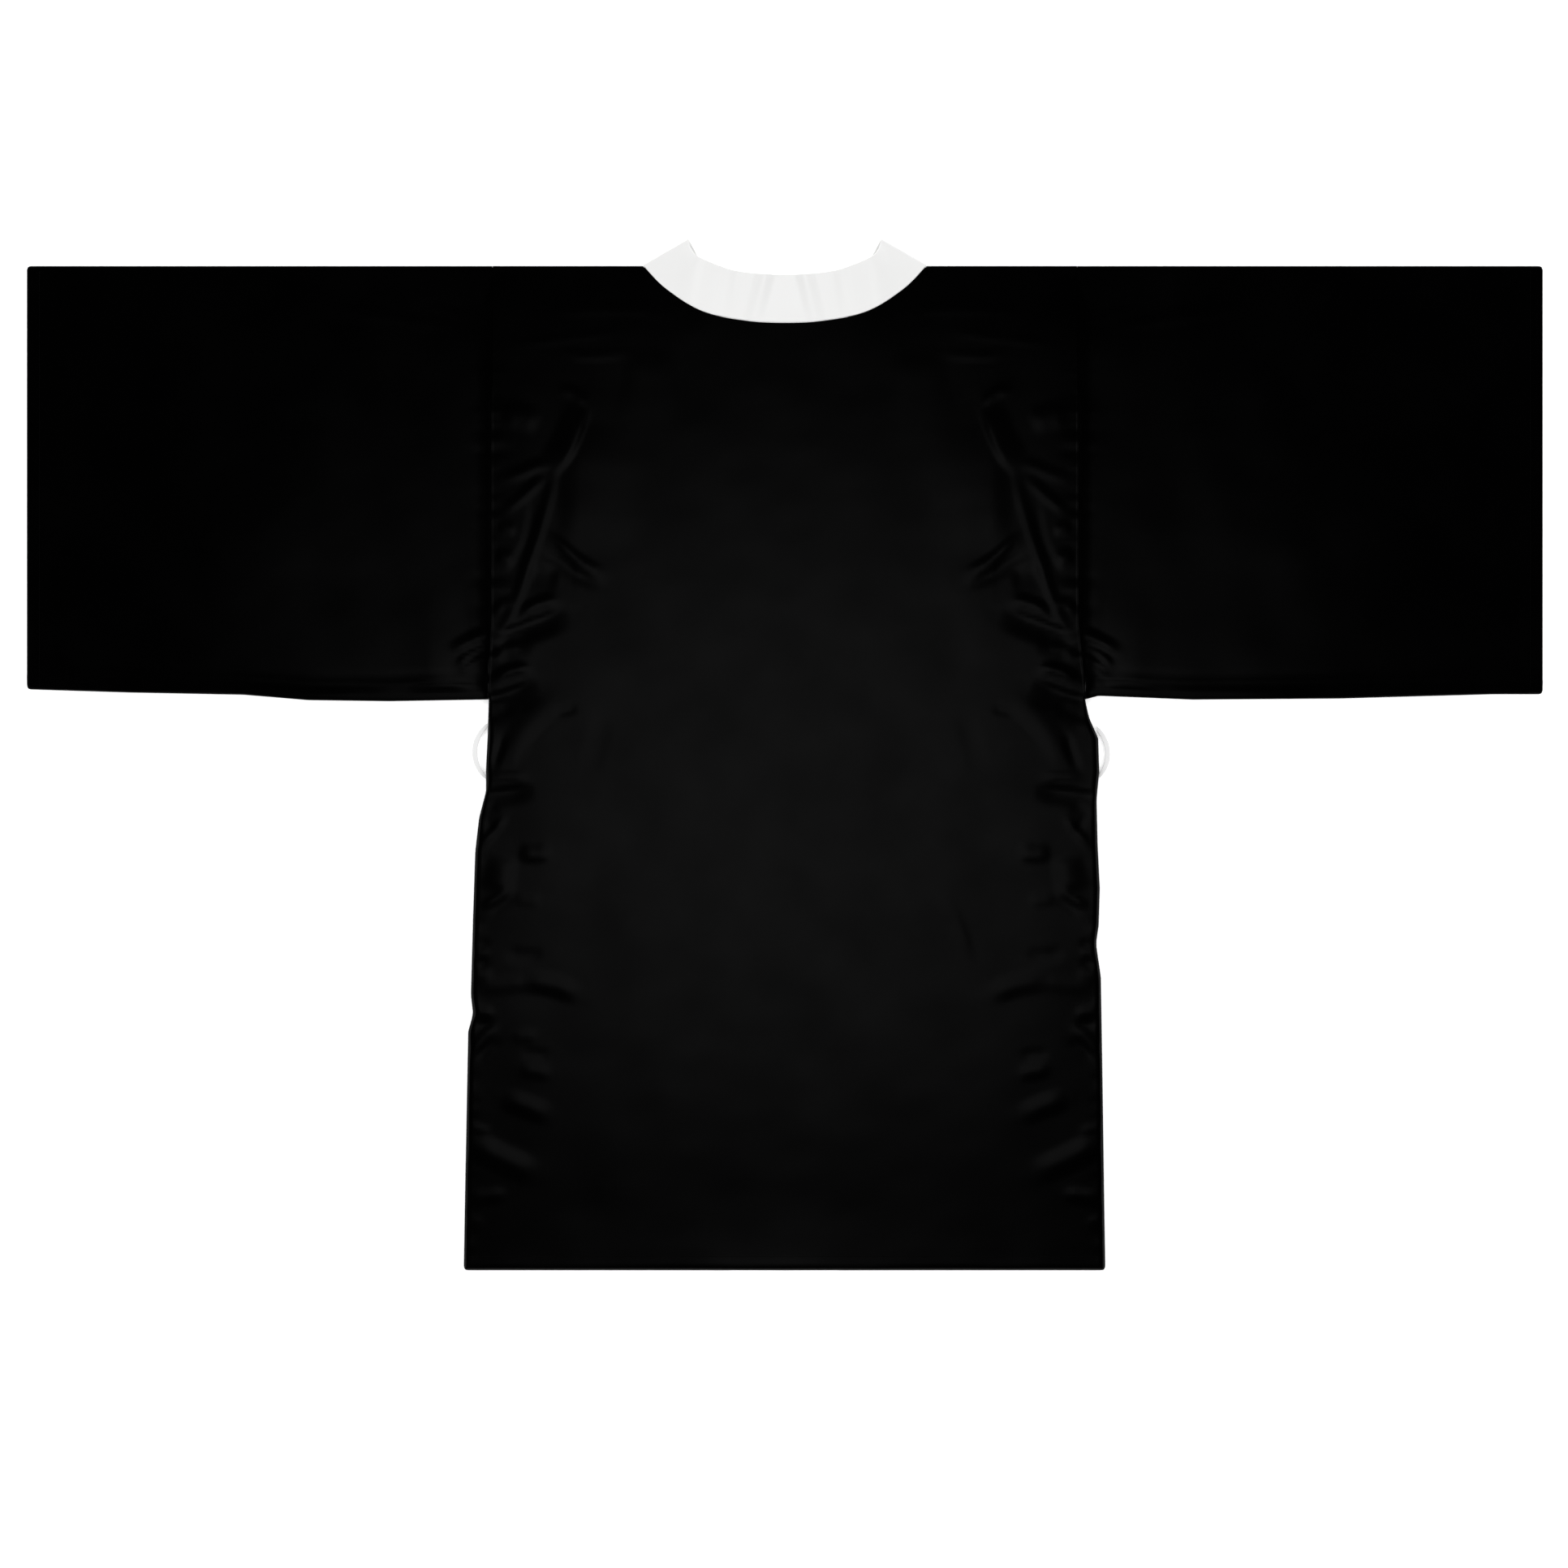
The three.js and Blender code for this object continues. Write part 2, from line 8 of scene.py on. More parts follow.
import bpy
import numpy as np
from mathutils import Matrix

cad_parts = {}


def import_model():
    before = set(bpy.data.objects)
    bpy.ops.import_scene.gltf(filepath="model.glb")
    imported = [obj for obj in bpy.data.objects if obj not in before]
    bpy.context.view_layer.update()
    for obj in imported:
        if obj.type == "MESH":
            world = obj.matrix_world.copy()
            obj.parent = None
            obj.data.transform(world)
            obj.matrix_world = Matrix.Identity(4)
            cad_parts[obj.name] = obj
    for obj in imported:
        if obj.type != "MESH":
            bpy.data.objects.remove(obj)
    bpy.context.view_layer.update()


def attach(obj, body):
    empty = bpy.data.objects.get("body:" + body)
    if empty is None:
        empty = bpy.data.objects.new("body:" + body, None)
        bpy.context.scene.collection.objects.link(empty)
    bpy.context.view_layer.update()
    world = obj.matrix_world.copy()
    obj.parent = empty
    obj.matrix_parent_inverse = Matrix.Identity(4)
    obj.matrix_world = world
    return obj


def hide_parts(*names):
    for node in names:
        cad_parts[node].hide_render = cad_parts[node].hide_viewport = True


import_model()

MM = 0.001

# Heights of the layers
CLOTH = 0.6  # thickness that the cloth is shown with
SEAM_GAP = 0.3
EDGE_HEIGHT = 2.7  # top of the upper layer where it is sewn to the lower one
LOFT = 2.3
SHOULDER_LOFT_RISE = 85  # the cloth rises over this distance from the shoulder fold
CUFF_LOFT_RISE = 38
SLEEVE_LOFT_RISE = 30  # sooner from the sleeve's seam, and soonest from the side seams and the hem
SIDE_LOFT_RISE = 4
HEM_LOFT_RISE = 3
SIDE_LOFT = 0.85  # share of the loft that is left just inside the side seams
SIDE_LOFT_REACH = 65
EDGE_ROLL = 1.3  # cloth turns over within this distance of a sewn or hemmed edge
UPPER_DROP = 1.15  # how far the upper layer turns down there
LOWER_LIFT = 1.15  # and how far the lower one turns up

# Outline
CUFF_X = 700
CUFF_CORNER = 3.5
ARMHOLE_X = 270
ARMHOLE_BEND_Y = 120
SHOULDER_Y = 451
UNDERARM_Y = 50
SLEEVES_ABOVE_Y = 46  # past the underarm, cloth above this is sleeve
HEM_Y = -476.4
HEM_CORNER = 4

Edge = namedtuple("Edge", "y out")
SIDE_SEAMS = {
    -1: [
        Edge(-476.4, 296.5), Edge(-413, 295.5), Edge(-256, 292.5), Edge(-240, 288), Edge(-222, 290),
        Edge(-150, 288), Edge(-90, 286), Edge(-59, 282.5), Edge(-34, 276), Edge(-12, 276), Edge(17, 274.5),
        Edge(50, 273.5),
    ],
    1: [
        Edge(-476.4, 296), Edge(-300, 293.5), Edge(-206, 292), Edge(-175, 287.5), Edge(-158, 290),
        Edge(-124, 291), Edge(-83, 289), Edge(-42, 288), Edge(-16, 290.5), Edge(15, 289.5), Edge(34, 281),
        Edge(50, 277.5),
    ],
}
SLEEVE_EDGES = {
    -1: [Edge(50.6, 273), Edge(49, 365), Edge(50, 440), Edge(55, 500), Edge(57, 605), Edge(60, 700)],
    1: [Edge(50.6, 277), Edge(54, 290), Edge(50.5, 377), Edge(51.5, 512), Edge(55.5, 655), Edge(55.5, 700)],
}

# Collar band
NECK_SEAM = [(-130.5, 451), (-110, 430), (-76, 409), (-36, 400.5), (0, 398.5)]
BAND_FREE_EDGE = [(-88.5, 475.3), (-86, 466), (-78, 458), (-50, 447), (-24, 443), (0, 442)]
FRONT_BAND_LINE = [
    (-109.5, 463.2), (-100, 445), (-86, 411), (-62, 341), (-40, 268), (-29, 195), (-26, 120), (-26, HEM_Y),
]
BAND_WIDTH = 48
BAND_STAND = 4  # the band stands up round the back of the neck
BAND_STAND_RISE = 0.12  # share of its length there that it takes to do so, at either end
BAND_THICKNESS = 1.2

# Creases of the upper layer, on both halves. A ridge's height is positive and a hollow's negative.
# above and below are the widths from crest to foot, on the collar's and on the hem's side of the line.
Crease = namedtuple("Crease", "line height above below")
CREASES = [
    # the long fold from the shoulder blade down to the armhole, with the hook at its top
    Crease([(209, 337), (194, 333), (182, 320)], 0.45, 7, 7),
    Crease([(183, 320), (198, 282), (213, 260)], 1.2, 22, 7),
    Crease([(210, 266), (221, 220), (234, 180), (246, 144), (265, 102)], 0.48, 8, 5),
    Crease([(184, 306), (188, 262), (190, 215), (192, 186)], 0.8, 22, 60),
    Crease([(232, 236), (237, 200), (253, 165)], -0.35, 7, 8),
    # puffs between it and the armhole
    Crease([(262, 313), (244, 312), (226, 305)], 0.7, 15, 15),
    Crease([(265, 253), (244, 259), (226, 266), (212, 264)], 0.45, 8, 7),
    Crease([(261, 223), (243, 237), (230, 249), (223, 256)], 0.5, 6, 7),
    Crease([(264, 210), (255, 208), (248, 207)], 0.6, 9, 7),
    Crease([(266, 184), (258, 181), (250, 179)], 0.7, 11, 9),
    # off the long fold towards the middle of the back
    Crease([(218, 202), (208, 195), (195, 183), (182, 174), (165, 166)], 0.8, 7, 6),
    Crease([(199, 177), (181, 167), (165, 160)], 0.5, 4, 7),
    Crease([(226, 190), (209, 179), (190, 168), (168, 159)], -0.6, 5, 13),
    Crease([(236, 172), (222, 168), (208, 165)], -0.6, 8, 24),
    # underarm
    Crease([(245, 128), (228, 138), (208, 142)], 0.8, 8, 6),
    Crease([(271, 107), (234, 121), (201, 133)], -1.25, 6, 21),
    Crease([(266, 97), (250, 101), (234, 107)], -0.4, 10, 16),
    Crease([(269, 133), (260, 138), (250, 141)], 0.6, 6, 6),
    Crease([(268, 92), (256, 98), (243, 100)], 0.5, 7, 6),
    Crease([(270, 68), (256, 76), (241, 79), (233, 75)], 0.9, 7, 7),
    Crease([(294, 43), (257, 56), (229, 67)], -1.3, 6, 24),
    Crease([(278, 31), (264, 36), (250, 44)], -0.4, 10, 16),
    # on the sleeve beside the underarm
    Crease([(309, 95), (289, 105), (272, 115)], 0.9, 8, 7),
    Crease([(303, 80), (294, 90), (284, 96), (272, 98)], 0.7, 5, 5),
    Crease([(301, 74), (286, 85), (272, 90)], 0.6, 5, 5),
    Crease([(362, 52), (316, 63), (278, 59)], 0.8, 7, 6),
    Crease([(690, 88), (590, 85), (490, 79), (390, 77), (290, 84)], 1.3, 90, 25),
    # waist
    Crease([(258, -10), (242, 18), (224, 38), (206, 50)], 0.5, 16, 14),
    Crease([(246, -12), (243, 2), (224, 22), (208, 37)], -0.12, 3, 3),
    Crease([(214, 39), (203, 40), (191, 43)], -0.4, 6, 6),
    Crease([(271, -15), (265, 1), (259, 18)], -0.45, 6, 7),
    Crease([(276, -22), (255, -21), (236, -21)], 0.5, 7, 4),
    Crease([(294, -39), (257, -34), (231, -31)], -1, 5, 17),
    Crease([(283, -60), (276, -52), (264, -46)], -0.4, 6, 12),
    Crease([(284, -87), (272, -75), (258, -58)], 0.6, 5, 5),
    Crease([(279, -60), (272, -66), (266, -73)], -0.3, 6, 6),
    Crease([(246, -91), (230, -93), (214, -91)], 0.75, 14, 9),
    Crease([(256, -94), (260, -110), (263, -129)], 0.9, 20, 14),
    # hip
    Crease([(280, -142), (266, -133), (251, -124)], 0.6, 6, 5),
    Crease([(272, -148), (260, -140), (251, -134)], -0.25, 4, 4),
    Crease([(250, -132), (238, -134), (224, -135)], 0.3, 9, 9),
    Crease([(288, -175), (281, -175), (272, -174)], -0.35, 4, 4),
    Crease([(288, -184), (281, -184), (272, -183)], 0.3, 5, 4),
    Crease([(288, -194), (280, -193), (273, -191)], -0.4, 5, 5),
    Crease([(288, -204), (280, -204), (270, -203)], 0.35, 5, 5),
    Crease([(259, -182), (240, -186), (222, -184)], -0.35, 10, 10),
    # thigh
    Crease([(243, -209), (214, -213), (187, -223)], 0.7, 13, 12),
    Crease([(287, -213), (262, -212), (234, -209)], 0.4, 8, 12),
    Crease([(290, -238), (279, -238), (268, -240)], 0.5, 7, 6),
    Crease([(288, -248), (279, -249), (268, -250)], -0.4, 5, 6),
    Crease([(292, -280), (279, -262), (264, -250)], 0.5, 7, 8),
    Crease([(286, -282), (273, -269), (260, -266)], -0.3, 5, 8),
    Crease([(244, -276), (230, -276), (217, -278)], -0.25, 7, 7),
    Crease([(246, -291), (231, -293), (215, -296)], 0.4, 10, 8),
    Crease([(262, -317), (240, -325), (216, -335)], 0.7, 14, 11),
    # above the hem
    Crease([(293, -345), (283, -346), (272, -349)], 0.35, 6, 5),
    Crease([(294, -357), (268, -371), (229, -389)], 1.05, 17, 13),
    Crease([(293, -409), (277, -408), (256, -405)], 0.65, 9, 9),
    Crease([(293, -431), (286, -431), (279, -432)], 0.3, 6, 6),
    # soft folds of the shoulder, of the sleeve's top and of the back
    Crease([(250, 378), (197, 384), (148, 391)], 0.2, 6, 6),
    Crease([(206, 372), (184, 367), (142, 370)], 0.22, 6, 6),
    Crease([(219, 408), (160, 410), (101, 408)], 0.25, 9, 7),
    Crease([(150, 354), (122, 350), (96, 353)], 0.5, 27, 50),
    Crease([(394, 432), (338, 417), (282, 402)], 0.3, 8, 8),
    Crease([(425, 412), (365, 403), (301, 394)], 0.25, 8, 8),
    Crease([(165, 40), (173, 10), (180, -19)], -0.25, 14, 14),
]
# Creases found on one half only
ONE_SIDED = {
    -1: [Crease([(252, -262), (240, -260), (228, -261)], 0.3, 8, 8)],
    1: [Crease([(146, -130), (160, -159), (171, -190)], 0.35, 9, 9)],
}
CREASE_STEPS = 5
CREASE_FADE = 0.33  # a crease reaches its height over this share of its length
CREASE_LONGEST_FADE = 40  # but over no more than this distance
CREASE_OVERHANG = 0.25  # it starts this share of the fade before its end
CREST_ROUNDING = 1.5  # the width changes from one flank's to the other's within this distance
EDGE_FADE = 4  # creases die away over this distance from an edge

# Puckers across the seams: the height of the cloth between two gathers, and how far it reaches
Pucker = namedtuple("Pucker", "y height reach")
ARMHOLE_PUCKERS = [
    Pucker(352, 0.15, 16), Pucker(331, -0.15, 10), Pucker(316, 0.3, 14), Pucker(300, -0.3, 13),
    Pucker(289, 0.3, 12), Pucker(279, -0.35, 14), Pucker(266, 0.2, 9), Pucker(241, -0.25, 10),
    Pucker(226, -0.3, 12), Pucker(217, 0.3, 10), Pucker(196, 0.2, 9), Pucker(164, -0.4, 14),
    Pucker(153, 0.35, 15), Pucker(138, -0.35, 12), Pucker(127, 0.3, 12), Pucker(116, -0.35, 13),
    Pucker(106, 0.35, 11), Pucker(97, -0.4, 12), Pucker(88, 0.35, 12), Pucker(76, -0.4, 10),
    Pucker(64, 0.35, 10),
]
SIDE_PUCKERS = [
    Pucker(33, -0.3, 8), Pucker(7, 0.2, 9), Pucker(-101, 0.25, 8), Pucker(-120, -0.3, 9),
    Pucker(-153, -0.3, 7), Pucker(-162, 0.3, 8), Pucker(-213, -0.3, 8), Pucker(-229, 0.25, 7),
    Pucker(-298, -0.3, 8), Pucker(-309, 0.25, 7), Pucker(-321, -0.3, 9), Pucker(-335, -0.3, 8),
    Pucker(-391, -0.3, 9), Pucker(-421, -0.3, 8), Pucker(-443, -0.3, 9), Pucker(-452, 0.25, 6),
    Pucker(-461, -0.3, 8),
]
PUCKER_WIDTH = 5

# Very broad rises of the cloth
Swell = namedtuple("Swell", "out y height across along")
SWELLS = [
    Swell(540, 185, 2.3, 115, 85),
    Swell(640, 260, -1.2, 60, 120),
    Swell(120, 345, -0.4, 60, 30),
    Swell(0, -60, 0.6, 110, 190),
]

# Slight unevenness of all the cloth, as waves that run at different angles
Ripple = namedtuple("Ripple", "length angle start height")
RIPPLES = [
    Ripple(61, 12, 0.4, 0.04), Ripple(47, 78, 2.1, 0.02), Ripple(83, 41, 4.0, 0.045),
    Ripple(37, 124, 1.2, 0.012), Ripple(119, 157, 5.2, 0.07), Ripple(29, 96, 3.3, 0.006),
]

# Sewing
WELT_HEIGHT = 0.3  # seam allowance, pressed towards the sleeve
WELT_PLACE = 1.4
WELT_WIDTH = 2.6
WELT_TOP_Y = 345  # nearer to the shoulder it lies flat
WELT_FADE = 30
ARMHOLE_SINK = 0.55  # the body's cloth sinks towards the armhole seam
SINK_ON_BODY = 40
TROUGH_DEPTH = 1.1  # past the seam, the sleeve's cloth falls on to a long shallow trough
TROUGH_PLACE = 14
TROUGH_FLAT = 60
TROUGH_REACH = 240
HEM_DEPTH = 15
CUFF_HEM_DEPTH = 14
HEM_RISE = 1.2  # the folded hem curls up a little
HEM_RISE_REACH = 75
HEM_MIDDLE_RISE = 0.8  # and more in the middle of the back
HEM_MIDDLE_REACH = 70
CUFF_RISE = 0.2  # the folded cuff hem lies higher by this, from just inside its row of stitches
CUFF_STEP_OUT = 3
CUFF_STEP_IN = 1
STITCH_INSET = 2  # a row of stitches lies this far inside the edge of its hem
STITCH_DIP = 0.03
STITCH_DIP_WIDTH = 2.2
UNDERARM_LINE_RISE = 11  # a slight line that runs along the sleeve's underside, above its seam
UNDERARM_LINE_HEIGHT = 0.5
UNDERARM_LINE_WIDTH = 2.4

# Belt loops
BELT_LOOP_WIDTH = 5
BELT_LOOP_THICKNESS = 1.1
BELT_LOOP_HEIGHT = 0.55  # of its middle above the surface
BELT_LOOP_END_WIDTH = 0.62  # share of its width that it has at its ends
BELT_LOOP_STATIONS = 41
BeltLoop = namedtuple("BeltLoop", "name side top bottom bulge")
BELT_LOOPS = [
    BeltLoop("belt_loop_left", -1, 27, -21, 11),
    BeltLoop("belt_loop_right", 1, 24, -20, 9),
]

SIDES = ((-1, "left"), (1, "right"))


# Small helpers

def smooth(value, low, high):
    share = np.clip((value - low) / (high - low), 0, 1)
    return share * share * (3 - 2 * share)


def bump(share):
    return np.where(np.abs(share) < 1, (1 - np.minimum(1, share * share)) ** 2, 0)


def mix(a, b, share):
    return a + (b - a) * share


def smooth_curve(points, count):
    """Evenly spaced places along a soft curve through the given ones."""
    given = np.array(points, float)
    ends = np.vstack([given[:1], given, given[-1:]])
    t = np.linspace(0, 1, 40, endpoint=False)[:, None]
    pieces = []
    for before, start, end, after in zip(ends, ends[1:], ends[2:], ends[3:]):
        bend = 2 * before - 5 * start + 4 * end - after
        twist = 3 * start - before - 3 * end + after
        pieces.append(0.5 * (2 * start + (end - before) * t + bend * t**2 + twist * t**3))
    dense = np.vstack([*pieces, given[-1:]])
    walked = np.concatenate([[0], np.cumsum(np.linalg.norm(np.diff(dense, axis=0), axis=1))])
    at = np.linspace(0, walked[-1], count)
    return np.column_stack([np.interp(at, walked, dense[:, axis]) for axis in range(given.shape[1])])


def side_table(table, column, at, x):
    """A column of a two-sided table, looked up on the side that each place lies on."""
    key = "out" if column == "y" else "y"
    found = {}
    for side, rows in table.items():
        keys = [getattr(row, key) for row in rows]
        values = [getattr(row, column) for row in rows]
        found[side] = np.interp(at, keys, values)
    return np.where(x < 0, found[-1], found[1])


def body_edge(x, y):
    """Half width of the body: to the side seam, and above the underarm to the armhole seam."""
    seam = side_table(SIDE_SEAMS, "out", y, x)
    share = np.clip((y - UNDERARM_Y) / (ARMHOLE_BEND_Y - UNDERARM_Y), 0, 1)
    underarm_out = side_table(SIDE_SEAMS, "out", UNDERARM_Y, x)
    return np.where(y <= UNDERARM_Y, seam, mix(underarm_out, ARMHOLE_X, share))


def sleeve_edge(x):
    return side_table(SLEEVE_EDGES, "y", np.abs(x), x)


def edge_distances(x, y):
    """Distances from a place on the upper layer to the edges where it lies on the lower layer.

    They are to the shoulder fold, to the seam of the body's side or of the sleeve, to the cuff
    and to the hem. The last value tells the sleeve's cloth from the body's.
    """
    out = np.abs(x)
    past_neck = np.maximum(0, -NECK_SEAM[0][0] - out)
    shoulder = np.hypot(past_neck, SHOULDER_Y - y)
    underarm_out = side_table(SIDE_SEAMS, "out", UNDERARM_Y, x)
    body_side = body_edge(x, y) - out
    body_side = np.where(y > UNDERARM_Y, np.hypot(underarm_out - out, y - UNDERARM_Y), body_side)
    on_sleeve = (out > underarm_out) & (y > SLEEVES_ABOVE_Y)
    side = np.where(on_sleeve, y - sleeve_edge(x), body_side)
    return shoulder, np.maximum(0, side), CUFF_X - out, y - HEM_Y, on_sleeve


def loft_height(distances):
    """The upper layer's rise above its edges. Beside the side seams it lies lower than elsewhere."""
    shoulder, side, cuff, hem, on_sleeve = distances
    from_fold = np.minimum(shoulder / SHOULDER_LOFT_RISE, cuff / CUFF_LOFT_RISE)
    from_side = side / np.where(on_sleeve, SLEEVE_LOFT_RISE, SIDE_LOFT_RISE)
    turned_up = np.minimum(np.minimum(from_fold, from_side), hem / HEM_LOFT_RISE)
    kept = np.where(on_sleeve, 1, mix(SIDE_LOFT, 1, smooth(side, 0, SIDE_LOFT_REACH)))
    return LOFT * kept * np.sin(math.pi / 2 * np.clip(turned_up, 0, 1))


def crease_height(crease, out, y):
    """Height that a crease adds: a rounded ridge along its line, fading towards both ends."""
    curve = smooth_curve(crease.line, CREASE_STEPS * (len(crease.line) - 1) + 1)
    added = np.zeros_like(out)
    reach = max(crease.above, crease.below)
    low = curve.min(axis=0) - reach
    high = curve.max(axis=0) + reach
    near = (out > low[0]) & (out < high[0]) & (y > low[1]) & (y < high[1])
    if not near.any():
        return added
    places = np.column_stack([out[near], y[near]])
    distance = np.full(len(places), np.inf)
    walked = np.zeros(len(places))
    height_over_line = np.zeros(len(places))
    length = np.linalg.norm(curve[1] - curve[0])
    for step, (a, b) in enumerate(zip(curve, curve[1:])):
        direction = (b - a) / np.linalg.norm(b - a)
        along = np.clip((places - a) @ direction, 0, length)
        apart = places - a - along[:, None] * direction
        upward = np.array([-direction[1], direction[0]]) * (1 if direction[0] >= 0 else -1)
        closer = np.linalg.norm(apart, axis=1) < distance
        distance = np.where(closer, np.linalg.norm(apart, axis=1), distance)
        walked = np.where(closer, step * length + along, walked)
        height_over_line = np.where(closer, apart @ upward, height_over_line)
    whole = length * (len(curve) - 1)
    fade = min(CREASE_FADE * whole, CREASE_LONGEST_FADE)
    start = -CREASE_OVERHANG * fade
    ends = smooth(walked, start, fade) * smooth(whole - walked, start, fade)
    lean = smooth(height_over_line, -CREST_ROUNDING, CREST_ROUNDING)
    width = mix(crease.below, crease.above, lean)
    added[near] = crease.height * ends * bump(distance / width)
    return added


def relief(x, y):
    """Everything that raises or lowers the upper layer, apart from its loft."""
    out = np.abs(x)
    height = sum(crease_height(crease, out, y) for crease in CREASES)
    for side, creases in ONE_SIDED.items():
        half = np.where(x * side > 0, out, -CUFF_X)
        height = height + sum(crease_height(crease, half, y) for crease in creases)
    for swell in SWELLS:
        away = ((out - swell.out) / swell.across) ** 2 + ((y - swell.y) / swell.along) ** 2
        height = height + swell.height * np.exp(-away)
    for ripple in RIPPLES:
        turn = math.radians(ripple.angle)
        place = x * math.cos(turn) + y * math.sin(turn)
        height = height + ripple.height * np.sin(2 * math.pi * place / ripple.length + ripple.start)
    from_seam = np.abs(out - body_edge(x, y))
    for puckers, beside in ((ARMHOLE_PUCKERS, y > UNDERARM_Y), (SIDE_PUCKERS, y < UNDERARM_Y)):
        for pucker in puckers:
            across = bump((y - pucker.y) / PUCKER_WIDTH) * np.exp(-((from_seam / pucker.reach) ** 2))
            height = height + np.where(beside, pucker.height * across, 0)
    return height


def cloth_top(x, y):
    """Height of the upper layer's outer face."""
    x = np.asarray(x, float)
    y = np.asarray(y, float)
    out = np.abs(x)
    distances = edge_distances(x, y)
    shoulder, side, cuff, hem, _ = distances
    edge = np.minimum(np.minimum(shoulder, side), np.minimum(cuff, hem))
    height = np.maximum(0, loft_height(distances) + relief(x, y) * smooth(edge, 0, EDGE_FADE))
    past_seam = out - body_edge(x, y)
    armhole = y > UNDERARM_Y
    body_sink = ARMHOLE_SINK * np.maximum(0, 1 + past_seam / SINK_ON_BODY) ** 2
    falling = np.sin(math.pi / 2 * np.clip(past_seam / TROUGH_PLACE, 0, 1))
    trough = (ARMHOLE_SINK + TROUGH_DEPTH * falling) * (1 - smooth(past_seam, TROUGH_FLAT, TROUGH_REACH))
    sink = np.where(past_seam > 0, trough, body_sink)
    height = np.where(armhole, np.maximum(height - sink, 0), height)
    shown = 1 - smooth(y, WELT_TOP_Y - WELT_FADE, WELT_TOP_Y)
    welt = WELT_HEIGHT * bump((past_seam - WELT_PLACE) / WELT_WIDTH) * shown
    height = height + np.where(armhole, welt, 0)
    from_hem = y - HEM_Y
    from_cuff = CUFF_X - out
    hem_rise = HEM_RISE + HEM_MIDDLE_RISE * np.exp(-((x / HEM_MIDDLE_REACH) ** 2))
    height = height + hem_rise * np.clip(1 - from_hem / HEM_RISE_REACH, 0, 1) ** 2
    past_cuff_hem = smooth(from_cuff, CUFF_HEM_DEPTH - CUFF_STEP_OUT, CUFF_HEM_DEPTH + CUFF_STEP_IN)
    height = height + CUFF_RISE * (1 - past_cuff_hem)
    for distance, depth in ((from_hem, HEM_DEPTH), (from_cuff, CUFF_HEM_DEPTH)):
        height = height - STITCH_DIP * bump((distance - depth + STITCH_INSET) / STITCH_DIP_WIDTH)
    line = bump((y - sleeve_edge(x) - UNDERARM_LINE_RISE) / UNDERARM_LINE_WIDTH)
    height = height + np.where(past_seam > 0, UNDERARM_LINE_HEIGHT * line, 0)
    return EDGE_HEIGHT + np.maximum(0, height)


def roll(distance):
    """Share of its turn that cloth has made at a distance from its edge: 1 there, and 0 past the roll."""
    left = np.clip(1 - distance / EDGE_ROLL, 0, 1)
    return 1 - np.sqrt(1 - left * left)


def spaced(start, end, step, fine_start=True, fine_end=True):
    """Places from start to end, a step apart, with close ones at the edges so that the cloth can roll."""
    close = [0, 0.1, 0.4, 0.85, EDGE_ROLL, 2.4, 4]
    first = [start + place for place in close] if fine_start else [start]
    last = [end - place for place in reversed(close)] if fine_end else [end]
    count = max(1, round((last[0] - first[-1]) / step))
    between = np.linspace(first[-1], last[0], count + 1)[1:-1]
    return np.array([*first, *between, *last])


# Mesh making

def grid_faces(rows, columns, wrap, first=0):
    """Quads over a grid of points. With wrap, the last column joins the first."""
    numbers = first + np.arange(rows * columns).reshape(rows, columns)
    if wrap:
        numbers = np.hstack([numbers, numbers[:, :1]])
    corners = [numbers[:-1, :-1], numbers[:-1, 1:], numbers[1:, 1:], numbers[1:, :-1]]
    return np.stack([corner.ravel() for corner in corners], axis=1)


def grid_normals(grid, wrap):
    """Unit normals of a grid of points, pointing to the side from which its quads run anticlockwise."""
    padded = np.concatenate([grid[:, -1:], grid, grid[:, :1]], axis=1) if wrap else grid
    across = np.gradient(padded, axis=1)
    along = np.gradient(padded, axis=0)
    normals = np.cross(across, along)
    if wrap:
        normals = normals[:, 1:-1]
    return normals / np.linalg.norm(normals, axis=2, keepdims=True)


def make_mesh(name, points, faces, crisp_angle=50):
    mesh = bpy.data.meshes.new(name)
    mesh.from_pydata((np.asarray(points) * MM).tolist(), [], [list(map(int, face)) for face in faces])
    mesh.validate()
    mesh.polygons.foreach_set("use_smooth", [True] * len(mesh.polygons))
    mesh.set_sharp_from_angle(angle=math.radians(crisp_angle))
    mesh.update()
    made = bpy.data.objects.new(name, mesh)
    bpy.context.scene.collection.objects.link(made)
    return made


def cloth_shell(name, grid, wrap=False):
    """A piece of cloth from a grid of points on its outer face, with an inner face and closed edges."""
    rows, columns = grid.shape[:2]
    inner = grid - CLOTH * grid_normals(grid, wrap)
    count = rows * columns
    outer_faces = grid_faces(rows, columns, wrap)
    inner_faces = grid_faces(rows, columns, wrap, first=count)[:, ::-1]
    numbers = np.arange(count).reshape(rows, columns)
    edges = [numbers[0], numbers[-1, ::-1]]
    if wrap:
        edges = [np.append(edge, edge[0]) for edge in edges]
    else:
        edges += [numbers[:, -1], numbers[::-1, 0]]
    rims = []
    for edge in edges:
        a, b = edge[:-1], edge[1:]
        rims.append(np.stack([b, a, a + count, b + count], axis=1))
    faces = np.vstack([outer_faces, inner_faces, *rims])
    points = np.vstack([grid.reshape(-1, 3), inner.reshape(-1, 3)])
    return make_mesh(name, points, faces)


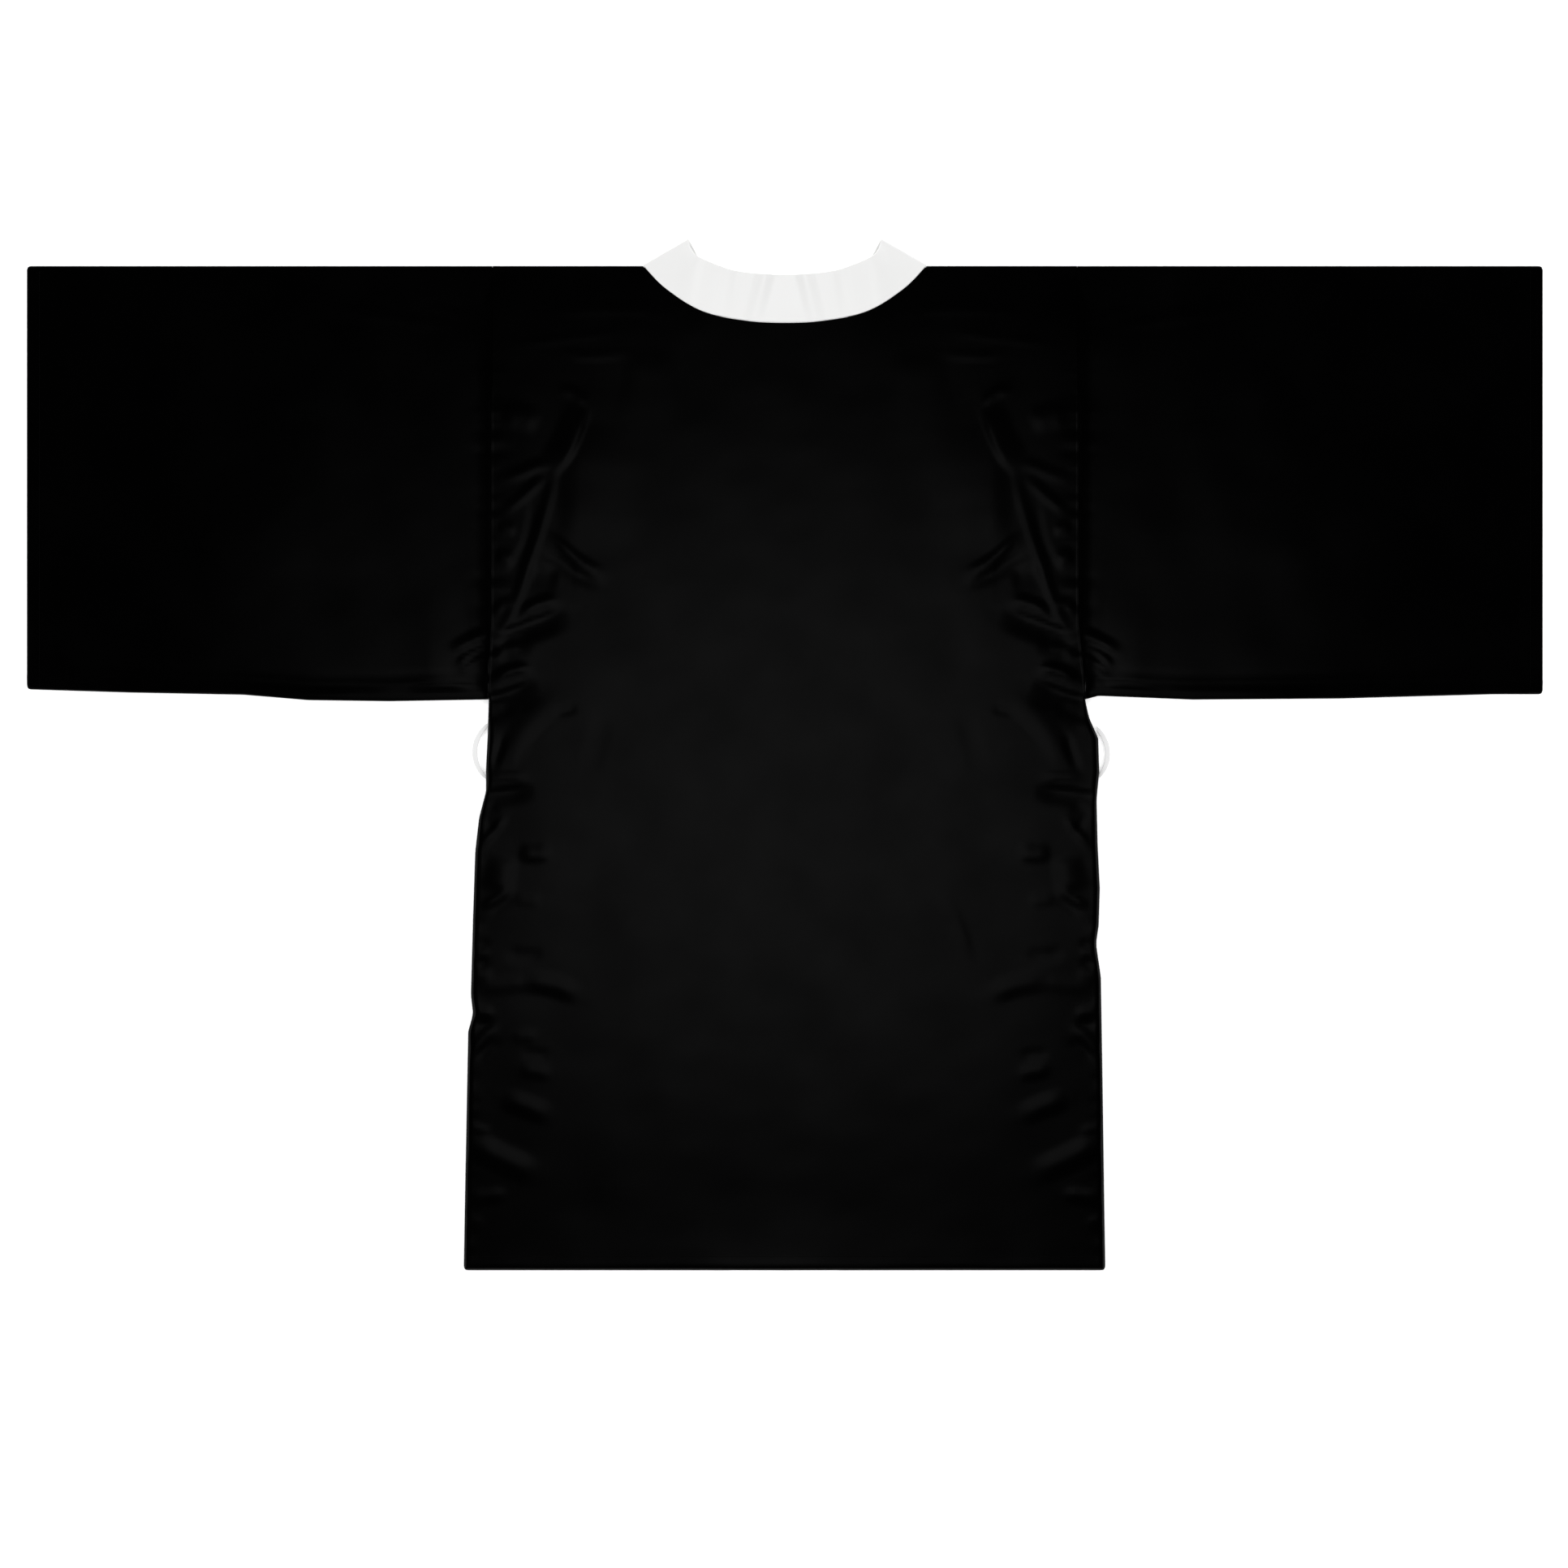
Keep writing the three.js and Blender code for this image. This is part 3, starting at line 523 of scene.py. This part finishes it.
def doubled_band(name, middle, normals, across, thickness):
    """A flat doubled strip with rounded edges, from a grid of places in its middle, edge to edge."""
    rows, columns = middle.shape[:2]
    width = np.linalg.norm(middle[:, -1] - middle[:, 0], axis=1)[:, None]
    from_edge = np.minimum(across, 1 - across)[None, :] * width
    half = thickness / 2
    turned = np.clip(1 - from_edge / half, 0, 1)
    reach = (half * np.sqrt(1 - turned**2))[:, :, None]
    outer = middle + normals * reach
    inner = (middle - normals * reach)[:, -2:0:-1]
    rings = np.concatenate([outer, inner], axis=1)
    count = rings.shape[1]
    faces = grid_faces(rows, count, wrap=True).tolist()
    faces.append(list(range(count))[::-1])
    faces.append([(rows - 1) * count + place for place in range(count)])
    return make_mesh(name, rings.reshape(-1, 3), faces)


# Lines of the collar band

def across_neck(left_half, count):
    right_half = [(-x, y) for x, y in reversed(left_half[:-1])]
    return smooth_curve([*left_half, *right_half], count)


NECK_STATIONS = 121
FRONT_STATIONS = 190
TURNED_IN_STATIONS = 12  # below the shoulder, the band turns to its own line over so many
neck_seam = across_neck(NECK_SEAM, NECK_STATIONS)
band_free_edge = across_neck(BAND_FREE_EDGE, NECK_STATIONS)


def front_band_edges():
    """The seam edge and the free edge of the band down the left front, from the shoulder to the hem."""
    line = smooth_curve(FRONT_BAND_LINE, FRONT_STATIONS)
    direction = np.gradient(line, axis=0)
    direction /= np.linalg.norm(direction, axis=1, keepdims=True)
    aside = np.column_stack([direction[:, 1], -direction[:, 0]]) * BAND_WIDTH / 2
    seam, free = line + aside, line - aside
    turned_in = smooth(np.arange(FRONT_STATIONS), 0, TURNED_IN_STATIONS)[:, None]
    seam = mix(np.array(NECK_SEAM[0]) + (line - line[0]), seam, turned_in)
    free = mix(np.array(BAND_FREE_EDGE[0]) + (line - line[0]), free, turned_in)
    seam[-1, 1] = free[-1, 1] = HEM_Y
    return seam, free


front_seam, front_free = front_band_edges()


# The pieces

# Distances between the points of a piece's grid. They are closest where there are creases.
CREASED_FROM = 150  # distance from the middle
BACK_CREASED_STEP = 2.5
BACK_MIDDLE_STEP = 5.2
BACK_ROW_STEP = 3.4
FRONT_STEP = 6
FRONT_SPAN = 200  # a front's columns are spaced as on a width of this
SLEEVE_CREASED_TO = 130  # distance from the armhole
SLEEVE_CREASED_STEP = 2.6
SLEEVE_STEP = 4.2
WELT_STATIONS = [1.8, 3.1]
SLEEVE_OVER_ROWS = 118
SLEEVE_UNDER_ROWS = 24
SLEEVE_CUFF_THINNING = 0.85  # share of the fold's radius that the cuff's turned edge takes away
FOLD_ANGLES = np.radians([-60, -30, 0, 30, 60])


def back_panel():
    """The upper layer of the body, from the hem to the shoulders and the neckline."""
    side_places = spaced(CREASED_FROM, ARMHOLE_X, BACK_CREASED_STEP, fine_start=False)
    middle = spaced(-CREASED_FROM, CREASED_FROM, BACK_MIDDLE_STEP, fine_start=False, fine_end=False)
    columns = np.concatenate([-side_places[::-1], middle[1:-1], side_places]) / ARMHOLE_X
    rows = (spaced(HEM_Y, SHOULDER_Y, BACK_ROW_STEP) - HEM_Y) / (SHOULDER_Y - HEM_Y)
    u, v = np.meshgrid(columns, rows)
    below_band = SEAM_GAP * math.sqrt(2)
    neck_y = np.interp(u * ARMHOLE_X, neck_seam[:, 0], neck_seam[:, 1] - below_band, SHOULDER_Y, SHOULDER_Y)
    y = HEM_Y + v * (neck_y - HEM_Y)
    limit = body_edge(u, y) - np.where(y >= UNDERARM_Y, SEAM_GAP / 2, 0)
    corner = np.clip(1 - (y - HEM_Y) / HEM_CORNER, 0, 1)
    limit = limit - HEM_CORNER * (1 - np.sqrt(1 - corner**2))
    from_side = (1 - np.abs(u)) * ARMHOLE_X
    x = np.sign(u) * (limit - from_side * limit / ARMHOLE_X)
    at_neck = np.abs(x) < -NECK_SEAM[0][0]
    from_top = np.where(at_neck, EDGE_ROLL, SHOULDER_Y - y)
    from_free_side = np.where(y > UNDERARM_Y, EDGE_ROLL, from_side)
    turned = roll(np.minimum(np.minimum(from_free_side, y - HEM_Y), from_top))
    z = cloth_top(x, y) - UPPER_DROP * turned
    return cloth_shell("back_cloth", np.stack([x, y, z], axis=2))


def front_panel(name, side):
    """The lower layer of one half of the body, flat on the surface."""
    y = spaced(HEM_Y, SHOULDER_Y, FRONT_STEP)
    inner_x = np.interp(y, front_seam[::-1, 1], -front_seam[::-1, 0]) + SEAM_GAP
    limit = body_edge(np.full_like(y, side), y) - np.where(y >= UNDERARM_Y, SEAM_GAP / 2, 0)
    corner = np.clip(1 - (y - HEM_Y) / HEM_CORNER, 0, 1)
    limit = limit - HEM_CORNER * (1 - np.sqrt(1 - corner**2))
    places = spaced(0, FRONT_SPAN, FRONT_STEP) / FRONT_SPAN
    out = mix(inner_x[:, None], limit[:, None], places[None, :])
    rows = np.repeat(y[:, None], len(places), axis=1)
    from_edge = np.minimum(limit[:, None] - out, np.minimum(rows - HEM_Y, SHOULDER_Y - rows))
    z = LOWER_LIFT * roll(from_edge)
    grid = np.stack([side * out, rows, z], axis=2)
    if side > 0:
        grid = grid[:, ::-1]
    return cloth_shell(name, grid)


def sleeve(name, side):
    """A straight tube pressed flat, with its fold at the top and its seam along the bottom."""
    radius = EDGE_HEIGHT / 2
    length = CUFF_X - ARMHOLE_X
    near = spaced(0, SLEEVE_CREASED_TO, SLEEVE_CREASED_STEP, fine_end=False)
    far = spaced(SLEEVE_CREASED_TO, length, SLEEVE_STEP, fine_start=False)[1:]
    cuff_line = length - CUFF_HEM_DEPTH + np.array([0, STITCH_INSET / 2, STITCH_INSET])
    stations = np.unique(np.round(np.concatenate([near, WELT_STATIONS, far, cuff_line]), 3))
    shares = stations / length
    over = np.linspace(1, 0, SLEEVE_OVER_ROWS)
    under = np.linspace(0, 1, SLEEVE_UNDER_ROWS)
    rings = []
    for share, station in zip(shares, stations):
        def x_at(y):
            seam_x = body_edge(np.full_like(y, side), y) + SEAM_GAP / 2
            return side * mix(seam_x, CUFF_X, share)
        from_cuff = length - station
        cut = max(0.0, 1 - from_cuff / CUFF_CORNER)
        rounding = CUFF_CORNER * (1 - math.sqrt(1 - cut * cut))
        edge_x = side * mix(side_table(SIDE_SEAMS, "out", UNDERARM_Y, side), CUFF_X, share)
        low = float(sleeve_edge(edge_x)) + radius + rounding
        high = SHOULDER_Y - radius - rounding
        turned = float(roll(from_cuff))
        y_over = mix(low, high, over)
        y_under = mix(low, high, under)
        z_over = cloth_top(x_at(y_over), y_over) - UPPER_DROP * turned
        z_under = np.full_like(y_under, LOWER_LIFT * turned)
        half = radius * (1 - SLEEVE_CUFF_THINNING * turned)
        y_top = high + half * np.cos(FOLD_ANGLES)
        z_top = radius + half * np.sin(FOLD_ANGLES)
        y_bottom = low - half * np.cos(FOLD_ANGLES)
        z_bottom = radius + half * np.sin(FOLD_ANGLES[::-1])
        y = np.concatenate([y_under, y_top, y_over, y_bottom])
        z = np.concatenate([z_under, z_top, z_over, z_bottom])
        rings.append(np.column_stack([x_at(y), y, z]))
    grid = np.stack(rings)
    if side < 0:
        grid = grid[:, ::-1]
    return cloth_shell(name, grid, wrap=True)


# Soft creases across the collar band at the back of the neck. Places are distances from the middle, at the
# seam and at the free edge. Inner and outer are the widths of a crease's two flanks, and rise is the share
# of its height that it has at the seam.
BandCrease = namedtuple("BandCrease", "seam free height inner outer rise")
BAND_CREASES = [
    BandCrease(29, 18, 2.3, 10, 10, 0.3),
    BandCrease(57, 52, -1.0, 8, 8, 0.2),
    BandCrease(89, 81, 1.0, 8, 14, 0.4),
]


def band_creases(x, across):
    height = np.zeros_like(x)
    for crease in BAND_CREASES:
        past = np.abs(x) - mix(crease.seam, crease.free, across)
        width = np.where(past > 0, crease.outer, crease.inner)
        height = height + crease.height * (crease.rise + (1 - crease.rise) * across) * bump(past / width)
    return height


BAND_TURN = np.radians(np.arange(15, 180, 15))
BAND_SETTLED = 0.05  # the creases reach their height over this share of the band's length, at either end
BAND_EDGE_PLACES = np.array([0, 0.1, 0.35, 0.6, 1.5])
BAND_EDGE = 3  # the places between are spaced from here on
BAND_COLUMNS = 17


def band_stations():
    """Seam edge, free edge, height and outward normal, from the left hem up and over the shoulder fold."""
    low, high = BAND_THICKNESS / 2, EDGE_HEIGHT - BAND_THICKNESS / 2
    turn_radius = (high - low) / 2
    seam_end, free_end = np.array(NECK_SEAM[0]), np.array(BAND_FREE_EDGE[0])
    along_fold = (free_end - seam_end) / np.linalg.norm(free_end - seam_end)
    past_fold = np.array([-along_fold[1], along_fold[0]])
    stations = []
    for seam, free in zip(front_seam[::-1], front_free[::-1]):
        stations.append((seam, free, low, (0, 0, -1)))
    for angle in BAND_TURN:
        shift = past_fold * turn_radius * math.sin(angle)
        height = low + turn_radius * (1 - math.cos(angle))
        normal = (*(past_fold * math.sin(angle)), -math.cos(angle))
        stations.append((seam_end + shift, free_end + shift, height, normal))
    return stations


def collar_band():
    """One doubled strip: up a front, over at the shoulder, round the back of the neck and down again."""
    across = np.unique(np.concatenate([
        BAND_EDGE_PLACES / BAND_WIDTH,
        np.linspace(BAND_EDGE / BAND_WIDTH, 1 - BAND_EDGE / BAND_WIDTH, BAND_COLUMNS),
        1 - BAND_EDGE_PLACES / BAND_WIDTH,
    ]))
    left = band_stations()
    sections, normals = [], []

    def add(seam, free, heights, normal):
        xy = mix(np.array(seam)[None, :], np.array(free)[None, :], across[:, None])
        sections.append(np.column_stack([xy, heights]))
        normals.append(np.tile(np.array(normal, float), (len(across), 1)))

    for seam, free, height, normal in left:
        add(seam, free, np.full(len(across), height), normal)
    for place, (seam, free) in enumerate(zip(neck_seam, band_free_edge)):
        at_seam = float(cloth_top(seam[0], seam[1] - SEAM_GAP)) - BAND_THICKNESS / 2
        share = place / (NECK_STATIONS - 1)
        stand = BAND_STAND * smooth(min(share, 1 - share), 0, BAND_STAND_RISE)
        x = mix(seam[0], free[0], across)
        settled = smooth(min(share, 1 - share), 0, BAND_SETTLED)
        heights = at_seam + stand * across + band_creases(x, across) * settled
        lowest = EDGE_HEIGHT - BAND_THICKNESS / 2
        add(seam, free, np.maximum(heights, lowest), (0, 0, 1))
    mirrored = np.array([-1, 1, 1])
    for seam, free, height, normal in reversed(left):
        heights = np.full(len(across), height)
        add(seam * mirrored[:2], free * mirrored[:2], heights, normal * mirrored)
    middle = np.stack(sections)[:, ::-1]
    return doubled_band("collar_cloth", middle, np.stack(normals), across, BAND_THICKNESS)


def belt_loop(loop):
    """A narrow tape bent to an arc beside the body, thinner towards its ends in the side seam."""
    reach = (loop.top - loop.bottom) / 2
    radius = (reach**2 + loop.bulge**2) / (2 * loop.bulge)
    to_centre = radius - loop.bulge
    seat_y = np.array([loop.top, loop.bottom], float)
    seats = body_edge(np.full(2, loop.side), seat_y) + SEAM_GAP
    seats[0] = max(seats[0], float(body_edge(loop.side, loop.top - BELT_LOOP_WIDTH)) + SEAM_GAP)
    share = np.linspace(0, 1, BELT_LOOP_STATIONS)
    width = BELT_LOOP_WIDTH * mix(BELT_LOOP_END_WIDTH, 1, np.sin(math.pi * share) ** 0.5)
    across = np.array([0, 0.03, 0.1, 0.2, 0.5, 0.8, 0.9, 0.97, 1])
    rings = []
    for t, wide in zip(share, width):
        edge_radius = radius + (across - 0.5) * wide
        widest = np.arccos(np.minimum(1, to_centre / edge_radius))
        angle = mix(widest, -widest, t)
        out = mix(seats[0], seats[1], t) - to_centre + edge_radius * np.cos(angle)
        y = (loop.top + loop.bottom) / 2 + edge_radius * np.sin(angle)
        rings.append(np.column_stack([loop.side * out, y, np.full_like(y, BELT_LOOP_HEIGHT)]))
    middle = np.stack(rings)
    if loop.side > 0:
        middle = middle[:, ::-1]
    normals = np.zeros_like(middle)
    normals[:, :, 2] = 1
    name = loop.name.replace("belt_loop", "loop_tape")
    return doubled_band(name, middle, normals, across, BELT_LOOP_THICKNESS)


ALLOWANCE_WIDTH = 12
ALLOWANCE_HEIGHT = 1.3
ALLOWANCE_THICKNESS = 0.5
ALLOWANCE_ROWS = 60
ALLOWANCE_ABOVE_UNDERARM = 6
ALLOWANCE_BELOW_SHOULDER = 1.3


def armhole_allowance(name, side):
    """The strip of seam allowance inside an armhole, between the two layers."""
    top_y = SHOULDER_Y - ALLOWANCE_BELOW_SHOULDER
    y = np.linspace(UNDERARM_Y + ALLOWANCE_ABOVE_UNDERARM, top_y, ALLOWANCE_ROWS)
    seam = body_edge(np.full_like(y, side), y)
    across = np.array([0, 0.02, 0.1, 0.5, 0.9, 0.98, 1])
    x = side * (seam[:, None] - ALLOWANCE_WIDTH / 2 + ALLOWANCE_WIDTH * across[None, :])
    if side < 0:
        x = x[:, ::-1]
    rows = np.repeat(y[:, None], len(across), axis=1)
    middle = np.stack([x, rows, np.full_like(x, ALLOWANCE_HEIGHT)], axis=2)
    upward = np.zeros_like(middle)
    upward[:, :, 2] = 1
    return doubled_band(name, middle, upward, across, ALLOWANCE_THICKNESS)


STITCH_LENGTH = 2.7
STITCH_PITCH = 3.4
STITCH_RADIUS = 0.22
STITCH_LIFT = 0.08  # of a stitch's middle above the cloth
STITCH_SIDES = 6
StitchRing = namedtuple("StitchRing", "along wide")
STITCH_RINGS = [
    StitchRing(-0.5, 0.25), StitchRing(-0.4, 0.8), StitchRing(0, 1), StitchRing(0.4, 0.8),
    StitchRing(0.5, 0.25),
]
HEM_STITCHES_OUT = 290  # the hem's row runs this far to either side
CUFF_STITCHES_FROM = 64
CUFF_STITCHES_TO = 446


def stitches(name, places, direction):
    """A row of short rounded stitches that lie in the cloth."""
    angles = np.arange(STITCH_SIDES) * 2 * math.pi / STITCH_SIDES
    points, faces = [], []
    for x, y in places:
        z = float(cloth_top(x, y))
        first = len(points)
        for ring in STITCH_RINGS:
            for angle in angles:
                aside = STITCH_RADIUS * ring.wide * math.cos(angle)
                up = STITCH_RADIUS * ring.wide * math.sin(angle)
                reach = ring.along * STITCH_LENGTH
                points.append((
                    x + direction[0] * reach - direction[1] * aside,
                    y + direction[1] * reach + direction[0] * aside,
                    z + up + STITCH_LIFT,
                ))
        last = first + (len(STITCH_RINGS) - 1) * STITCH_SIDES
        faces.extend(grid_faces(len(STITCH_RINGS), STITCH_SIDES, True, first).tolist())
        faces.append([first + side for side in range(STITCH_SIDES)][::-1])
        faces.append([last + side for side in range(STITCH_SIDES)])
    return make_mesh(name, points, faces, crisp_angle=80)


# Materials

def node(tree, kind, settings=None, **inputs):
    made = tree.nodes.new(kind)
    for key, value in (settings or {}).items():
        setattr(made, key, value)
    for key, value in inputs.items():
        made.inputs[key.replace("_", " ")].default_value = value
    return made


def noise(tree, coordinates, scale, stretch=(1, 1, 1), detail=2.0):
    mapping = node(tree, "ShaderNodeMapping", Scale=stretch)
    texture = node(tree, "ShaderNodeTexNoise", Scale=scale, Detail=detail)
    tree.links.new(coordinates.outputs["Object"], mapping.inputs["Vector"])
    tree.links.new(mapping.outputs["Vector"], texture.inputs["Vector"])
    return texture.outputs["Fac"]


# Noise lies mostly between these values.
NOISE_LOW = 0.3
NOISE_HIGH = 0.7


def ranged(tree, value, low, high):
    made = node(tree, "ShaderNodeMapRange")
    made.inputs["From Min"].default_value = NOISE_LOW
    made.inputs["From Max"].default_value = NOISE_HIGH
    made.inputs["To Min"].default_value = low
    made.inputs["To Max"].default_value = high
    tree.links.new(value, made.inputs["Value"])
    return made.outputs["Result"]


# Scales of the satin's noises: its colour and gloss change slowly, and its threads are fine.
COLOUR_SCALE = 9
GLOSS_SCALE = 16
GLOSS_SPREAD = 0.03
FLOAT_SCALE = 300
FLOAT_STRETCH = (8, 1, 8)
PICK_SCALE = 420
PICK_STRETCH = (1, 6, 6)
PICK_SHARE = 0.6
THREAD_DEPTH = 0.00003


def satin(name, dark, light, roughness, specular, bump_strength):
    """Satin: long floats along the cloth, a fine uneven grain, and slightly uneven colour and gloss."""
    material = bpy.data.materials.new(name)
    material.use_nodes = True
    tree = material.node_tree
    shader = tree.nodes["Principled BSDF"]
    coordinates = node(tree, "ShaderNodeTexCoord")
    colour = node(tree, "ShaderNodeMix", {"data_type": "RGBA"})
    colour.inputs["A"].default_value = (*dark, 1)
    colour.inputs["B"].default_value = (*light, 1)
    tree.links.new(ranged(tree, noise(tree, coordinates, COLOUR_SCALE), 0, 1), colour.inputs["Factor"])
    tree.links.new(colour.outputs["Result"], shader.inputs["Base Color"])
    gloss_noise = noise(tree, coordinates, GLOSS_SCALE)
    gloss = ranged(tree, gloss_noise, roughness - GLOSS_SPREAD, roughness + GLOSS_SPREAD)
    tree.links.new(gloss, shader.inputs["Roughness"])
    floats = node(tree, "ShaderNodeBump", Strength=bump_strength, Distance=THREAD_DEPTH)
    float_noise = noise(tree, coordinates, FLOAT_SCALE, stretch=FLOAT_STRETCH)
    tree.links.new(float_noise, floats.inputs["Height"])
    picks = node(tree, "ShaderNodeBump", Strength=bump_strength * PICK_SHARE, Distance=THREAD_DEPTH)
    pick_noise = noise(tree, coordinates, PICK_SCALE, stretch=PICK_STRETCH, detail=0.0)
    tree.links.new(pick_noise, picks.inputs["Height"])
    tree.links.new(floats.outputs["Normal"], picks.inputs["Normal"])
    tree.links.new(picks.outputs["Normal"], shader.inputs["Normal"])
    shader.inputs["Specular IOR Level"].default_value = specular
    return material


BLACK = satin(
    "black_satin", dark=(0.00005, 0.00005, 0.00006), light=(0.0001, 0.0001, 0.00011),
    roughness=0.24, specular=0.044, bump_strength=0.5,
)
WHITE = satin(
    "white_satin", dark=(0.775, 0.775, 0.77), light=(0.79, 0.79, 0.785),
    roughness=0.33, specular=0.6, bump_strength=0.6,
)
TAPE = satin(
    "loop_tape_satin", dark=(0.74, 0.74, 0.74), light=(0.78, 0.78, 0.78),
    roughness=0.5, specular=0.3, bump_strength=0.4,
)
THREAD = satin(
    "black_thread", dark=(0.0001, 0.0001, 0.00012), light=(0.0002, 0.0002, 0.00022),
    roughness=0.4, specular=0.02, bump_strength=0.6,
)


# Putting the robe together

def place_piece(made, material, node_name=None):
    made.data.materials.append(material)
    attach(made, "root")
    if node_name:
        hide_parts(node_name)
    return made


OUTLINE_PLACES = 120


def outline_area(corners):
    """Area in square metres inside a closed line of places in millimetres."""
    x, y = np.array(corners, float).T
    return abs(np.dot(x, np.roll(y, -1)) - np.dot(y, np.roll(x, -1))) / 2 * MM * MM


def panel_outline(side, inner_line):
    y = np.linspace(HEM_Y, SHOULDER_Y, OUTLINE_PLACES)
    edge = side * body_edge(np.full_like(y, side), y)
    return [*zip(edge, y), *inner_line]


back = place_piece(back_panel(), BLACK, "back_panel")
left_edge = panel_outline(-1, [])
right_edge = panel_outline(1, [])

for side, side_name in SIDES:
    panel = front_panel(f"front_cloth_{side_name}", side)
    front = place_piece(panel, BLACK, f"front_{side_name}")
    inner_line = [(side * abs(x), y) for x, y in front_seam.tolist()]
    front_area = outline_area(panel_outline(side, inner_line))
    tube = sleeve(f"sleeve_cloth_{side_name}", side)
    place_piece(tube, BLACK, f"sleeve_{side_name}")

for side, side_name in SIDES:
    strip = place_piece(armhole_allowance(f"armhole_allowance_{side_name}", side), BLACK)
band = place_piece(collar_band(), WHITE, "collar_band")
for loop in BELT_LOOPS:
    place_piece(belt_loop(loop), TAPE, loop.name)

hem_line = HEM_Y + HEM_DEPTH - STITCH_INSET
hem_places = [(x, hem_line) for x in np.arange(-HEM_STITCHES_OUT, HEM_STITCHES_OUT, STITCH_PITCH)]
place_piece(stitches("hem_stitches", hem_places, (1, 0)), THREAD)
cuff_line = CUFF_X - CUFF_HEM_DEPTH + STITCH_INSET
cuff_y = np.arange(CUFF_STITCHES_FROM, CUFF_STITCHES_TO, STITCH_PITCH)
for side, side_name in SIDES:
    cuff_places = [(side * cuff_line, y) for y in cuff_y]
    place_piece(stitches(f"cuff_stitches_{side_name}", cuff_places, (0, 1)), THREAD)


# Floor, light and camera

FLOOR_REACH = 6.0
FLOOR_LEVEL = -0.0003


def floor():
    mesh = bpy.data.meshes.new("floor")
    turns = ((-1, -1), (1, -1), (1, 1), (-1, 1))
    corners = [(x * FLOOR_REACH, y * FLOOR_REACH, FLOOR_LEVEL) for x, y in turns]
    mesh.from_pydata(corners, [], [(0, 1, 2, 3)])
    made = bpy.data.objects.new("floor", mesh)
    bpy.context.scene.collection.objects.link(made)
    material = bpy.data.materials.new("floor_white")
    material.use_nodes = True
    shader = material.node_tree.nodes["Principled BSDF"]
    shader.inputs["Base Color"].default_value = (0.97, 0.97, 0.97, 1)
    shader.inputs["Roughness"].default_value = 0.9
    shader.inputs["Specular IOR Level"].default_value = 0
    shader.inputs["Emission Color"].default_value = (1, 1, 1, 1)
    shader.inputs["Emission Strength"].default_value = 0.35
    mesh.materials.append(material)


# Soft lights. Radiance is the brightness of the lamp's face, and each one faces the frame's origin.
Lamp = namedtuple("Lamp", "name shape x y z wide high radiance")
LAMPS = [
    Lamp("north", "RECTANGLE", 0, 3.8, 1.7, 5.5, 1.7, 5.0),
    Lamp("south", "RECTANGLE", 0, -3.8, 1.7, 5.5, 1.7, 4.6),
    Lamp("west", "RECTANGLE", -3.8, 0, 1.7, 5.5, 1.7, 4.7),
    Lamp("east", "RECTANGLE", 3.8, 0, 1.7, 5.5, 1.7, 4.7),
    Lamp("overhead", "ELLIPSE", 0, -0.06, 3.4, 1.4, 1.3, 2.1),
]


def lamps():
    for lamp in LAMPS:
        data = bpy.data.lights.new(lamp.name, "AREA")
        data.shape = lamp.shape
        data.size, data.size_y = lamp.wide, lamp.high
        face = lamp.wide * lamp.high * (math.pi / 4 if lamp.shape == "ELLIPSE" else 1)
        data.energy = lamp.radiance * math.pi * face
        made = bpy.data.objects.new(lamp.name, data)
        made.location = (lamp.x, lamp.y, lamp.z)
        made.rotation_euler = made.location.to_track_quat("Z", "Y").to_euler()
        bpy.context.scene.collection.objects.link(made)


def world():
    made = bpy.data.worlds.new("studio")
    made.use_nodes = True
    background = made.node_tree.nodes["Background"]
    background.inputs["Color"].default_value = (1, 1, 1, 1)
    background.inputs["Strength"].default_value = 0.015
    bpy.context.scene.world = made


# The camera looks straight down. The photo shows this width of the surface, in metres, from edge to edge.
PHOTO_SPAN = 1.449
SENSOR_WIDTH = 36
CAMERA_HEIGHT = 3.1
PHOTO_MIDDLE = (-0.00075, -0.0274)


def camera():
    data = bpy.data.cameras.new("camera")
    data.sensor_width = SENSOR_WIDTH
    data.lens = SENSOR_WIDTH * CAMERA_HEIGHT / PHOTO_SPAN
    made = bpy.data.objects.new("camera", data)
    made.location = (*PHOTO_MIDDLE, CAMERA_HEIGHT)
    bpy.context.scene.collection.objects.link(made)
    bpy.context.scene.camera = made


floor()
lamps()
world()
camera()
bpy.context.scene.view_settings.view_transform = "Standard"
